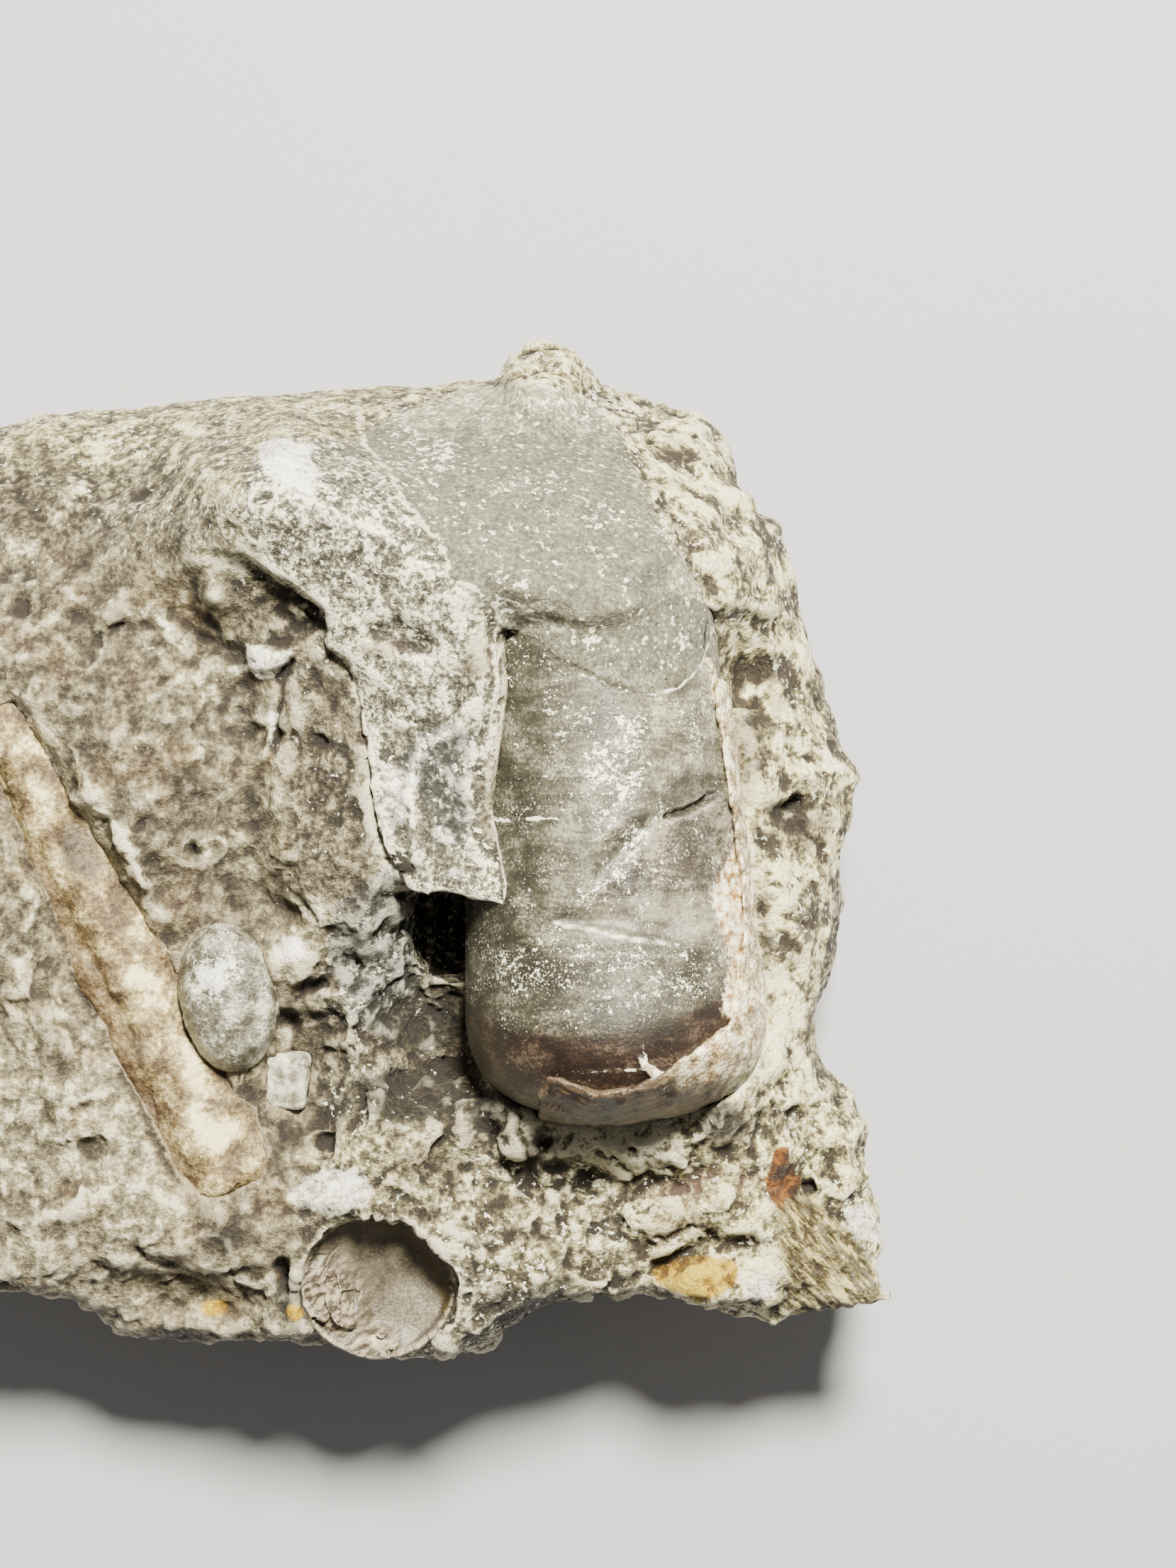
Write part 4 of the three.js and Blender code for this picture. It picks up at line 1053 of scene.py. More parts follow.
def mould():
    """The large orthocone: a smooth stone mould with a chipped side and a dark round end."""
    clay = clay_of("orthocone_mould", FOSSIL_GRAIN, 0.26)
    carve_mould(clay)
    clay = thinned(clay, MOULD_TRIANGLES)
    at = ragged(clay.points, 0.1)
    soft = seen(clay.points) + 0.3 * drift(clay.points, 1.5, 121)
    x, y = soft.T
    end_veins = ((END_VEIN, 0.04), (END_VEIN_2, 0.04))
    paint(
        clay,
        speckle=either(
            0.5 * patch(soft, BEVEL_BAND, 1.6),
            0.9 * line(soft, SIDE_BAND, 0.8),
            spots(soft, SPECKLED),
        ),
        vein=veins(at, (CROSS_VEIN, 0), (FAINT_VEIN, 0.08), *end_veins, (RIM_VEIN, 0.04)),
        end=smooth(-to_path(soft, END_TOP) / 2.0 + 0.3),
        skin=patch(at, SKIN, 0.15),
        # painted shade: in the groove and its crack, on the lower facet, down the left side and on the
        # shaded spots
        dark=either(
            patch(at, GROOVE, 0.5),
            0.8 * patch(at, LOWER_FACET, 0.8),
            1.3 * line(at, GROOVE_CRACK, 0.3),
            0.72 * smooth((11.4 - x) / 3.6),
            spots(soft, SHADED, 0.1),
        ),
        purple=patch(soft, FLAT_SIDE, 1.4),
        facet=patch(at, FACET, 0.3) * smooth(to_path(at, RIDGE) / 0.2),
        # painted highlight along the ridge
        glint=line(at, RIDGE, 0.11),
        cream=either(patch(at, EDGE_BAND, 1.3), line(at, EDGE_LINE, 0.4), patch(at, END_CHIP, 0.2)),
        # painted light: lighter towards the right, less so by the end
        right=smooth((x - 9) / 12) * (1 - 0.75 * smooth((-4.2 - y) / 2.4)),
        worn=clay.worn(4),
    )
    mesh, finish = clay.mesh, mould_finish()
    return placed("orthocone_mould_stone", mesh, "micrite_mould", finish, "orthocone_mould")


def shell():
    """The last of the outer shell, settled on the mould round the end and up the right side."""
    clay = clay_of("shell_remnant", THIN_GRAIN, 0.04)
    points = clay.points
    at = seen(points)
    core = surface_of(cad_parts["orthocone_mould"].data)
    outward = np.array([core.find_nearest(Vector(point))[1] for point in points])
    settle = 0.3 + 0.1 * smooth((at[:, 0] - 15) / 4)
    lip = smooth(1 - from_path(at, LIP) / 0.5)
    points -= outward * settle[:, None]
    clay.swell(0.06 * lumps(points, 1.3, 3, 131) + 0.08 * lip)
    points += 0.12 * drift(points, 0.7, 133, 3)
    clay = thinned(clay, SHELL_TRIANGLES)
    at = ragged(clay.points, 0.1)
    x, y = at.T
    upright = smooth((x - 18.6) / 1.6) * smooth((y + 14.0) / 3.0)
    paint(
        clay,
        lip=1 - smooth((from_path(at, LIP) - 0.15) / 0.6),
        side=to_path(at, LIP).clip(-4, 4) + 0.25 * waves(clay.points, 2.2, 136),
        pale=either(upright, 0.5 * spot(at, (21.9, -12), (3.0, 1.4), 35, 0.3)),
        upright=upright,
    )
    return placed("shell_remnant_skin", clay.mesh, "shell", shell_finish(), "shell_remnant")


def flatten_rod(points):
    """Wears the small orthocone's upper side flat and spreads it a little."""
    run = NARROW_END - WIDE_END
    length = np.linalg.norm(run[:2])
    forward = run[:2] / length
    sideways = np.array([-forward[1], forward[0]])
    from_end = points[:, :2] - WIDE_END[:2]
    along = (from_end @ forward / length).clip(0, 1)
    points[:, :2] += sideways * (0.2 * (from_end @ sideways))[:, None]
    above = (points[:, 2] - WIDE_END[2] - along * run[2]).clip(0)
    points[:, 2] -= above * (0.3 + 0.16 * waves(points, 4.0, 143))


def small_orthocone():
    """The narrow orthocone: worn flat, mottled tan and cream, partly covered by the stone."""
    clay = clay_of("small_orthocone", FOSSIL_GRAIN, 0.2)
    flatten_rod(clay.points)
    at = ragged(clay.points)
    rise = 0.24 * lumps(clay.points, 2.4, 3, 141) + 0.08 * chips(clay.points, 1.3, 142)
    rise -= 0.5 * spot(at, (-13.6, 0.4), (1.6, 2.6), 25, 0.3)
    rise -= 0.3 * line(at, ROD_LINE, 0.9)
    clay.swell(rise)
    clay = thinned(clay, ROD_TRIANGLES)
    at = ragged(clay.points)
    paint(
        clay,
        rim=1 - smooth(np.abs(to_path(at, ROD_LINE) + 0.5) / 1.5),
        pale=spots(at, ROD_PALE),
        dirt=spots(at, ROD_DIRT_AND_SHADE),
        worn=clay.worn(4),
    )
    mesh, finish = clay.mesh, tan_finish()
    return placed("small_orthocone_shell", mesh, "tan_calcite", finish, "small_orthocone")


def ossicle():
    """The oval plate of a sea lily: glassy calcite with a low rim."""
    clay = clay_of("crinoid_ossicle", FOSSIL_GRAIN, 0.34)
    points = clay.points
    ring = oval(seen(points), *OSSICLE)
    rise = 0.16 * smooth((ring - 0.6) / 0.15) * smooth((1.0 - ring) / 0.2)
    clay.swell(rise + 0.03 * chips(points, 0.8, 151) + 0.12 * lumps(points, 1.8, 2, 152))
    clay = thinned(clay, OSSICLE_TRIANGLES)
    paint(clay, bright=spots(ragged(clay.points), BRIGHT), worn=clay.worn(4))
    mesh, finish = clay.mesh, glassy_finish()
    return placed("crinoid_ossicle_plate", mesh, "glassy_calcite", finish, "crinoid_ossicle")


def hollow_valve(clay):
    """Sinks the valve's upper side to a dish with a thin edge, and leaves stone in its left."""
    points = clay.points
    at = ragged(points)
    normals = clay.normals()
    tilt = np.array(Matrix.Rotation(math.radians(VALVE_TILT), 3, "X"))
    bowl = (points - VALVE_MIDDLE) @ tilt
    away = np.hypot(bowl[:, 0] / VALVE_RADII[0], bowl[:, 1] / VALVE_RADII[1]).clip(0, 1)
    outward = ((normals @ tilt)[:, :2] * bowl[:, :2]).sum(axis=1)
    outward = outward / np.hypot(bowl[:, 0], bowl[:, 1]).clip(0.1)
    curve = np.sqrt(1 - away**2)
    shell_middle = VALVE_DEPTH * (1 - curve) - 0.35
    upper = smooth((bowl[:, 2] - shell_middle) / 0.2) * smooth((0.5 - outward) / 0.2)
    dish = VALVE_DEPTH * (1.04 - 0.66 * curve)
    fill = spots(at, FILL)
    stone = VALVE_DEPTH * 0.95 + 0.4 * chips(points, 1.3, 161) + 0.35 * lumps(points, 1.8, 2, 163)
    dish += fill * (stone - dish)
    dish += 0.3 * spot(at, (5.5, -26), (1.7, 2.3), 10)
    bowl[:, 2] += (dish - bowl[:, 2]) * upper
    points[:] = bowl @ tilt.T + VALVE_MIDDLE
    points += normals * (0.05 * lumps(points, 1.4, 2, 162))[:, None]


def valve():
    """The hollow side of the brachiopod valve, with stone still stuck in its left half."""
    clay = clay_of("brachiopod_valve", VALVE_GRAIN, 0.3)
    hollow_valve(clay)
    clay = thinned(clay, VALVE_TRIANGLES)
    at = ragged(clay.points)
    paint(
        clay,
        strands=spots(at, STRANDS),
        # the lighter lobe on the right, partly painted light
        lobe=spot(at, (5.3, -26), (2.4, 3.0), 10, 0.3),
        rim=from_path(at, ARC).clip(0, 3),
        worn=clay.worn(4),
    )
    mesh, finish = clay.mesh, valve_finish()
    return placed("brachiopod_valve_shell", mesh, "valve_shell", finish, "brachiopod_valve")


def crystal():
    """The cleaved calcite rhomb."""
    clay = clay_of("calcite_crystal", THIN_GRAIN, 0.25, 30)
    x, y = seen(clay.points).T
    steps = np.floor((x * 0.9 - y * 0.5) / 0.5) * 0.07
    clay.points[:, 2] += (steps - steps.mean()) * smooth(clay.normals()[:, 2] * 2)
    clay.swell(0.07 * chips(clay.points, 0.7, 171))
    clay = thinned(clay, CRYSTAL_TRIANGLES)
    paint(clay, worn=clay.worn(4))
    mesh, finish = clay.mesh, white_finish()
    return placed("calcite_crystal_rhomb", mesh, "white_calcite", finish, "calcite_crystal")


# ---------------------------------------------------------------- finishes


class Shade:
    """What comes out of a node; a sum or product with it is one more node."""

    def __init__(self, finish, socket):
        self.finish = finish
        self.socket = socket

    def __add__(self, other):
        return self.finish.maths("ADD", self, other)

    def __sub__(self, number):
        return self + -number

    def __mul__(self, other):
        return self.finish.maths("MULTIPLY", self, other)

    def __abs__(self):
        return self.finish.maths("ABSOLUTE", self)

    __radd__ = __add__
    __rmul__ = __mul__


class Finish:
    """A material that is built node by node, coat over coat."""

    def __init__(self, name):
        self.material = bpy.data.materials.new(name)
        self.material.use_nodes = True
        self.tree = self.material.node_tree
        self.shader = self.tree.nodes["Principled BSDF"]
        self.shader.inputs["IOR"].default_value = 1.5
        place = self.node("ShaderNodeTexCoord", "Object", {})
        self.millimetres = self.vector("SCALE", {0: place, "Scale": 1 / MM})
        self.colour = None

    def feed(self, target, value):
        """Joins an input to another node, or sets it to a number or a colour."""
        if isinstance(value, Shade):
            self.tree.links.new(value.socket, target)
        elif isinstance(value, tuple) and len(value) < len(target.default_value):
            target.default_value = (*value, 1.0)
        else:
            target.default_value = value

    def node(self, kind, output, inputs, **settings):
        """Adds a node, feeds its inputs and gives one of its outputs."""
        made = self.tree.nodes.new(kind)
        for setting, value in settings.items():
            setattr(made, setting, value)
        for name, value in inputs.items():
            self.feed(made.inputs[name], value)
        return Shade(self, made.outputs[output])

    def vector(self, operation, inputs, output=0):
        return self.node("ShaderNodeVectorMath", output, inputs, operation=operation)

    def maths(self, operation, *values):
        return self.node("ShaderNodeMath", 0, dict(enumerate(values)), operation=operation)

    def larger(self, a, b):
        return self.maths("MAXIMUM", a, b)

    def step(self, value, low, high, out_low=0.0, out_high=1.0):
        """Runs softly from out_low to out_high while the value goes from low to high."""
        ends = {"From Min": low, "From Max": high, "To Min": out_low, "To Max": out_high}
        inputs = {"Value": value, **ends}
        return self.node("ShaderNodeMapRange", "Result", inputs, interpolation_type="SMOOTHSTEP")

    def mix(self, share, a, b):
        """From colour a to colour b by a share."""
        return self.node("ShaderNodeMix", 2, {0: share, 6: a, 7: b}, data_type="RGBA")

    def coat(self, share, colour):
        """Lays a colour over what is there by a share."""
        self.colour = self.mix(share, self.colour, colour)

    def ramp(self, value, *stops):
        """A run of colours: each stop is a place from 0 to 1 and its colour."""
        made = self.node("ShaderNodeValToRGB", 0, {0: value})
        elements = made.socket.node.color_ramp.elements
        while len(elements) < len(stops):
            elements.new(0.5)
        for element, (place, *colour) in zip(elements, stops):
            element.position = place
            element.color = (*colour, 1.0)
        return made

    def layer(self, name):
        """A number painted on the piece's points."""
        return self.node("ShaderNodeAttribute", "Fac", {}, attribute_name=name)

    def frayed(self, name, noise, amount, low, high):
        """A painted layer from 0 to 1, its edge frayed by an amount of noise."""
        return self.step(self.layer(name) + (noise - 0.5) * amount, low, high)

    def noise(self, size, detail=2, roughness=0.55, shift=0.0, stretch=None, turn=0):
        """Cloudy noise from 0 to 1 of this size, stretched along its axes and turned by degrees."""
        place = self.millimetres
        if shift or stretch or turn:
            moves = {"Vector": place, "Location": (shift, shift * 1.7, shift * 0.6)}
            moves["Scale"] = stretch or (1, 1, 1)
            moves["Rotation"] = (0, 0, math.radians(turn))
            place = self.node("ShaderNodeMapping", 0, moves, vector_type="TEXTURE")
        inputs = {"Vector": place, "Scale": 1 / size, "Detail": detail, "Roughness": roughness}
        return self.node("ShaderNodeTexNoise", "Fac", inputs)

    def grains(self, size, shift):
        """Grains of this size: each grain's tone, the depth off its middle and its tilted face."""
        place = self.vector("ADD", {0: self.millimetres, 1: (shift, shift * 0.7, shift * 1.3)})
        depth = self.node("ShaderNodeTexVoronoi", "Distance", {"Scale": 1 / size, "Vector": place})
        outputs = depth.socket.node.outputs
        middle, colour = Shade(self, outputs["Position"]), Shade(self, outputs["Color"])
        away = self.vector("SUBTRACT", {0: place, 1: middle})
        tilt = self.vector("SUBTRACT", {0: colour, 1: (0.5, 0.5, 0.5)})
        face = self.vector("DOT_PRODUCT", {0: away, 1: tilt}, "Value")
        return self.node("ShaderNodeSeparateColor", 0, {0: colour}), depth, face

    def done(self, gloss, height, depth, strength):
        """The material, with a relief whose height runs over depth millimetres."""
        bump = {"Strength": strength, "Distance": depth * MM, "Height": height}
        self.feed(self.shader.inputs["Base Color"], self.colour)
        self.feed(self.shader.inputs["Roughness"], gloss)
        self.feed(self.shader.inputs["Normal"], self.node("ShaderNodeBump", 0, bump))
        return self.material


# Runs of colour: each stop is a place from 0 to 1 and its red, green and blue.
OLIVE = [
    (0, 0.014, 0.01, 0.006), (0.22, 0.052, 0.041, 0.026), (0.45, 0.115, 0.096, 0.057),
    (0.65, 0.19, 0.165, 0.104), (0.85, 0.34, 0.305, 0.205), (1, 0.72, 0.67, 0.5),
]
BROWN = [
    (0, 0.024, 0.014, 0.008), (0.3, 0.087, 0.061, 0.033), (0.6, 0.205, 0.163, 0.092),
    (0.85, 0.35, 0.293, 0.18), (1, 0.68, 0.62, 0.44),
]
CREAM_TONES = [
    (0, 0.035, 0.024, 0.013), (0.22, 0.115, 0.097, 0.052), (0.5, 0.3, 0.26, 0.125),
    (0.75, 0.6, 0.535, 0.28), (1, 0.98, 0.92, 0.6),
]
EVEN_GREY = [
    (0, 0.05, 0.047, 0.033), (0.4, 0.105, 0.099, 0.071), (0.75, 0.16, 0.152, 0.111), (1, 0.34, 0.327, 0.25),
]
PAINTED_LIT_GREY = [(0, 0.12, 0.114, 0.08), (0.5, 0.27, 0.258, 0.185), (1, 0.75, 0.73, 0.56)]
GRITTY = [
    (0, 0.024, 0.021, 0.014), (0.35, 0.09, 0.083, 0.058), (0.65, 0.21, 0.196, 0.142), (1, 0.85, 0.83, 0.66),
]
BLUE_GREY = [(0, 0.016, 0.017, 0.015), (0.5, 0.07, 0.073, 0.065), (0.8, 0.3, 0.31, 0.28)]
SOIL_AND_SHADE = [(0, 0.008, 0.005, 0.003), (0.5, 0.047, 0.033, 0.019), (1, 0.23, 0.18, 0.11)]
SHINY = [(0.35, 0.4, 0.38, 0.3), (0.5, 0.97, 0.95, 0.85)]
YELLOW_STAIN = [(0, 0.1, 0.045, 0), (0.5, 0.36, 0.21, 0), (1, 0.52, 0.35, 0)]
RUST_STAIN = [(0.38, 0.01, 0.003, 0), (0.5, 0.065, 0.017, 0), (0.62, 0.25, 0.08, 0.001)]
FIBRE_TONES = [(0.38, 0.016, 0.009, 0.002), (0.5, 0.085, 0.058, 0.01), (0.6, 0.62, 0.52, 0.24)]
MOULD_GREY = [
    (0, 0.014, 0.0125, 0.008), (0.4, 0.033, 0.03, 0.02), (0.75, 0.058, 0.053, 0.037),
    (1, 0.16, 0.152, 0.115),
]
MOULD_PAINTED_LIT = [
    (0, 0.05, 0.044, 0.031), (0.4, 0.115, 0.105, 0.075), (0.75, 0.2, 0.185, 0.137), (1, 0.36, 0.34, 0.265),
]
PURPLE = [(0, 0.022, 0.016, 0.012), (0.5, 0.062, 0.05, 0.038), (1, 0.22, 0.19, 0.15)]
MAROON = [(0, 0.006, 0.002, 0.001), (0.6, 0.02, 0.01, 0.006), (1, 0.07, 0.045, 0.03)]
WARM = [(0.38, 0.22, 0.11, 0.03), (0.5, 0.6, 0.5, 0.32), (0.62, 0.92, 0.87, 0.72)]
TAN = [(0, 0.02, 0.01, 0.004), (0.45, 0.085, 0.053, 0.023), (1, 0.48, 0.4, 0.25)]
AMBER = [(0, 0.09, 0.05, 0.016), (0.4, 0.4, 0.31, 0.17), (0.8, 0.9, 0.84, 0.66)]
ROD_TAN = [
    (0, 0.035, 0.02, 0.009), (0.3, 0.097, 0.062, 0.026), (0.55, 0.185, 0.138, 0.063),
    (0.8, 0.34, 0.27, 0.13), (1, 0.7, 0.62, 0.37),
]
CLEAR_GREY = [(0, 0.03, 0.026, 0.018), (0.5, 0.12, 0.112, 0.084), (1, 0.36, 0.35, 0.28)]


def smooth_skin(f, cloud, fine):
    """The dome's even grey, and how light it is at each point."""
    tone = f.step(cloud * 0.35 + fine * 0.65, 0.36, 0.66)
    return f.ramp(tone, *EVEN_GREY), tone


def stone_ground(f, mottle, fine, tone):
    """The stone's colours: olive, brown on the left, cream at the top, grit, and even grey with painted
    light on the dome.
    """
    skin, plate, worn = f.layer("skin"), f.layer("plate"), f.layer("worn")
    f.colour = f.ramp(tone, *OLIVE)
    browner = f.layer("left") * f.step(f.noise(3.5, 3, 0.5, 8.0), 0.44, 0.68)
    f.coat(browner, f.ramp(tone, *BROWN))
    f.coat(f.larger(f.layer("cream"), f.layer("crown") * 0.75), f.ramp(tone, *CREAM_TONES))
    # painted light and shade: the plate's raised grains are lighter
    grit = mottle * 0.45 + fine * 0.55 + f.layer("pale") * 0.06 + worn * 0.8
    f.coat(plate * 0.92, f.ramp(f.step(grit, 0.42, 0.61), *GRITTY))
    even, even_tone = smooth_skin(f, mottle, fine)
    # painted light: the dome's grey is lighter towards its top, on its right and under its lip
    glow = f.frayed("glow", mottle, 1.6, 0.2, 1.0)
    even = f.mix(glow * 0.9, even, f.ramp(even_tone, *PAINTED_LIT_GREY))
    f.coat(f.frayed("skin", mottle, 0.8, 0.35, 0.6), even)
    thread = f.step(abs(f.noise(0.8, 3, 0.6, 21.0) - 0.5), 0.012, 0.002)
    f.coat(thread * f.larger(plate, skin * 0.5) * 0.55, (0.5, 0.47, 0.37))
    f.coat(f.step(f.layer("blue"), 0.3, 0.8) * 0.85, f.ramp(tone, *BLUE_GREY))


def stone_dirt_shade_and_highlight_coats(f, mottle, fine, tone, calm):
    """Brown soil with painted shade, very dark painted shade, painted shade in crevices, and painted
    highlight on raised edges.
    """
    worn, joint = f.layer("worn"), f.layer("joint")
    # brown soil, and painted shade where the ground lies in shade
    f.coat(f.frayed("dirt", mottle, 1.6, 0.15, 0.95) * 0.8, f.ramp(tone, *SOIL_AND_SHADE))
    # painted shade, almost black
    black = f.mix(f.step(fine, 0.4, 0.7), (0.002, 0.001, 0.0), (0.036, 0.027, 0.016))
    f.coat(f.frayed("grime", mottle, 1.2, 0.08, 0.6) * 0.9, black)
    # painted shade in crevices
    crevice = f.step(worn, -0.02, -0.14) * (0.8 + calm * -0.5)
    f.coat(crevice * (1.0 + joint * -0.6), (0.016, 0.01, 0.006))
    # painted highlight on raised edges, not by the fossils
    edge = f.step(worn, 0.03, 0.16) * f.step(joint, 0.6, 0.1)
    f.coat(edge * 0.4, (0.5, 0.465, 0.36))


def stone_whites(f, mottle, fine, crumb_tone):
    """White flecks, spar and veins."""
    crowd = f.step(f.noise(2.4, 3, 0.55, 6.0), 0.35, 0.65, -0.04, 0.05)
    crowd = crowd + f.layer("skin") * -0.015 + f.layer("left") * -0.12
    crowd = crowd + f.layer("glint") * 0.1 + f.layer("dirt") * -0.12
    white = f.step(f.noise(0.42, 3, 0.6, 9.0) + crowd, 0.605, 0.64)
    f.coat(white * 0.85, (0.84, 0.82, 0.68))
    spar = f.frayed("spar", mottle, 1.5, 0.35, 0.85)
    f.coat(spar * 0.95, f.ramp(fine * 0.7 + crumb_tone * 0.3, *SHINY))
    width = f.step(f.noise(0.5, 2, 0.5, 2.0), 0.35, 0.68, -0.02, 0.2)
    vein = f.step(f.layer("vein") + (fine - 0.5) * 0.4, width + 0.08, width)
    f.coat(vein * 0.85, (0.72, 0.67, 0.5))


def stone_stains(f, mottle, fine, tone):
    """Yellow and rusty stains, brown fibres and a pink patch."""
    f.coat(f.frayed("stain", fine, 0.4, 0.3, 0.8) * 0.92, f.ramp(tone, *YELLOW_STAIN))
    f.coat(f.frayed("rust", mottle, 1.2, 0.35, 0.75) * 0.97, f.ramp(mottle, *RUST_STAIN))
    hairs = f.noise(0.3, 4, 0.62, 0.0, (6.0, 1.0, 3.0), -48)
    f.coat(f.step(f.layer("fibre"), 0.2, 0.8) * 0.85, f.ramp(hairs, *FIBRE_TONES))
    f.coat(f.layer("pink") * 0.35, (0.2, 0.11, 0.075))


def stone_finish():
    """Shelly limestone: mottled cream and olive, a matt grey skin, white veins, brown soil, and painted
    light and shade.
    """
    f = Finish("limestone")
    cream, left = f.layer("cream"), f.layer("left")
    mottle = f.noise(1.1, 7, 0.7)
    fine = f.noise(0.28, 5, 0.66, 3.0)
    grit = f.noise(0.13, 3, 0.6, 7.0)
    crumb_tone, crumb_depth, crumb_face = f.grains(0.4, 5.0)

    # painted light and shade: raised places and bulges are lighter, sunken ones darker
    tone = mottle * 0.6 + fine * 0.4 + f.layer("worn") * 0.5 + f.layer("swell") * 0.12
    tone = tone + (crumb_tone - 0.5) * (0.03 + cream * 0.05) + f.layer("pale") * 0.11
    tone = tone + (f.noise(2.1, 3, 0.55, 31.0) - 0.5) * f.layer("flank") * 0.7
    tone = f.step(tone, 0.395 + left * -0.045, 0.63 + left * 0.07)
    calm = f.larger(f.larger(f.layer("skin"), f.layer("plate")), left * 0.6)
    stone_ground(f, mottle, fine, tone)
    stone_dirt_shade_and_highlight_coats(f, mottle, fine, tone, calm)
    stone_whites(f, mottle, fine, crumb_tone)
    stone_stains(f, mottle, fine, tone)

    faces = (crumb_face * 0.5 + crumb_depth * -0.2) * (0.25 + cream * 0.5)
    height = (faces + fine * 0.5 + mottle * 0.6) * (1.0 + calm * -0.55) + grit * 0.12
    gloss = f.step(fine + f.layer("spar") * 0.3, 0.4, 0.85, 0.75, 0.3)
    return f.done(gloss, height, 0.7, 1.0)


def mould_ground(f, cloud, fine, end):
    """Olive grey, with painted light towards the right and painted shade on the left and in the groove,
    purplish on the flat side, and a dark brown end.
    """
    streak = f.noise(1.2, 4, 0.65, 7.0, (3.0, 0.4, 1.0))
    tone = f.step(cloud * 0.4 + fine * 0.35 + streak * 0.25, 0.41, 0.6)
    f.colour = f.ramp(tone, *MOULD_GREY)
    # painted light towards the right
    f.coat(f.layer("right") * (0.85 + f.layer("end") * -0.6), f.ramp(tone, *MOULD_PAINTED_LIT))
    f.coat(f.layer("purple") * 0.8, f.ramp(tone, *PURPLE))
    f.coat(f.layer("facet") * 0.75, f.mix(tone, (0.07, 0.064, 0.047), (0.24, 0.225, 0.17)))
    f.coat(f.layer("skin"), smooth_skin(f, cloud, fine)[0])
    f.coat(end * 0.94, f.ramp(tone, *MAROON))
    # painted shade
    f.coat(f.layer("dark") * 0.7, (0.018, 0.015, 0.01))
    warm = f.ramp(f.noise(0.5, 3, 0.6, 9.0), *WARM)
    f.coat(f.frayed("cream", fine, 1.2, 0.3, 0.75) * 0.92, warm)


def mould_finish():
    """Fine olive grey stone, satin smooth, peppered with white flecks; its end is dark brown."""
    f = Finish("mould stone")
    fine = f.noise(0.2, 4, 0.65)
    cloud = f.noise(1.8, 5, 0.62, 2.0)
    speckle, worn = f.layer("speckle"), f.layer("worn")
    end = f.frayed("end", cloud, 0.7, 0.1, 0.75)
    mould_ground(f, cloud, fine, end)

    crowd = speckle * 0.12 + f.step(f.noise(1.6, 3, 0.6, 13.0), 0.35, 0.65, -0.09, 0.03)
    crowd = crowd + end * -0.11 + f.layer("skin") * -0.04
    coarse = f.step(f.noise(0.28, 4, 0.66, 3.0) + crowd, 0.615, 0.655)
    small = f.step(f.noise(0.12, 2, 0.6, 6.0) + crowd * 0.7, 0.63, 0.69)
    specks = f.larger(coarse, small * 0.8)
    f.coat(specks * 0.92, (0.9, 0.88, 0.74))
    width = f.step(f.noise(0.6, 2, 0.5, 2.0), 0.35, 0.7, 0.0, 0.13)
    # the veins, and a painted highlight along the ridge
    vein = f.larger(f.step(f.layer("vein"), width + 0.05, width), f.layer("glint"))
    f.coat(vein * 0.85, (0.85, 0.82, 0.7))
    # painted shade in crevices, painted highlight on raised edges
    f.coat(f.step(worn, -0.015, -0.1), (0.025, 0.02, 0.014))
    f.coat(f.step(worn, 0.03, 0.12) * 0.25, (0.6, 0.57, 0.47))
    _, _, face = f.grains(0.24, 1.0)
    height = face * (0.1 + speckle * 0.5) + fine * 0.2 + specks * 0.14
    return f.done(f.step(fine, 0.35, 0.7, 0.5, 0.34), height, 0.3, 0.8)


def shell_finish():
    """Thin brown shell with fine growth lines and a pale broken lip."""
    f = Finish("shell")
    fine = f.noise(0.16, 3, 0.6)
    cloud = f.noise(0.8, 4, 0.6, 4.0)
    stripes = f.maths("SINE", f.layer("side") * 24.0 + cloud * 9.0)
    lines = f.step(stripes, -0.2, 0.9) * f.step(cloud, 0.35, 0.6)
    tone = f.step(cloud * 0.6 + fine * 0.4, 0.36, 0.66)
    f.colour = f.mix(tone, (0.006, 0.0026, 0.001), (0.03, 0.016, 0.007))
    f.coat(lines * 0.4, (0.12, 0.078, 0.042))
    lip = f.frayed("lip", fine, 0.6, 0.35, 0.8)
    f.coat(lip * 0.8, f.mix(tone, (0.04, 0.023, 0.012), (0.15, 0.108, 0.066)))
    f.coat(f.layer("pale") * 0.8, f.ramp(tone, *TAN))
    f.coat(f.layer("upright") * 0.9, f.ramp(tone, *AMBER))
    height = fine * 0.4 + lines * 0.2 + cloud * 0.4
    return f.done(f.step(fine, 0.3, 0.7, 0.5, 0.32), height, 0.16, 0.7)


def tan_finish():
    """Tan altered shell, mottled cream and brown, with a reddish rim."""
    f = Finish("tan shell")
    fine = f.noise(0.28, 4, 0.65)
    cloud = f.noise(1.5, 5, 0.64, 3.0)
    worn = f.layer("worn")
    # raised places are lighter: painted light
    tone = f.step(cloud * 0.65 + fine * 0.35 + worn * 0.4 + f.layer("pale") * 0.16, 0.35, 0.66)
    f.colour = f.ramp(tone, *ROD_TAN)
    rim = f.frayed("rim", cloud, 1.2, 0.3, 0.95)
    f.coat(rim * 0.7, f.mix(tone, (0.03, 0.014, 0.006), (0.14, 0.085, 0.042)))
    # brown patches, and painted shade at the left edge
    dirt = f.frayed("dirt", cloud, 1.4, 0.25, 0.85)
    f.coat(dirt * 0.8, f.mix(tone, (0.018, 0.011, 0.006), (0.13, 0.103, 0.07)))
    # painted shade in crevices
    f.coat(f.step(worn, 0.0, -0.12) * 0.5, (0.035, 0.02, 0.01))
    return f.done(f.step(fine, 0.3, 0.7, 0.62, 0.45), fine * 0.5 + cloud * 0.5, 0.4, 0.8)


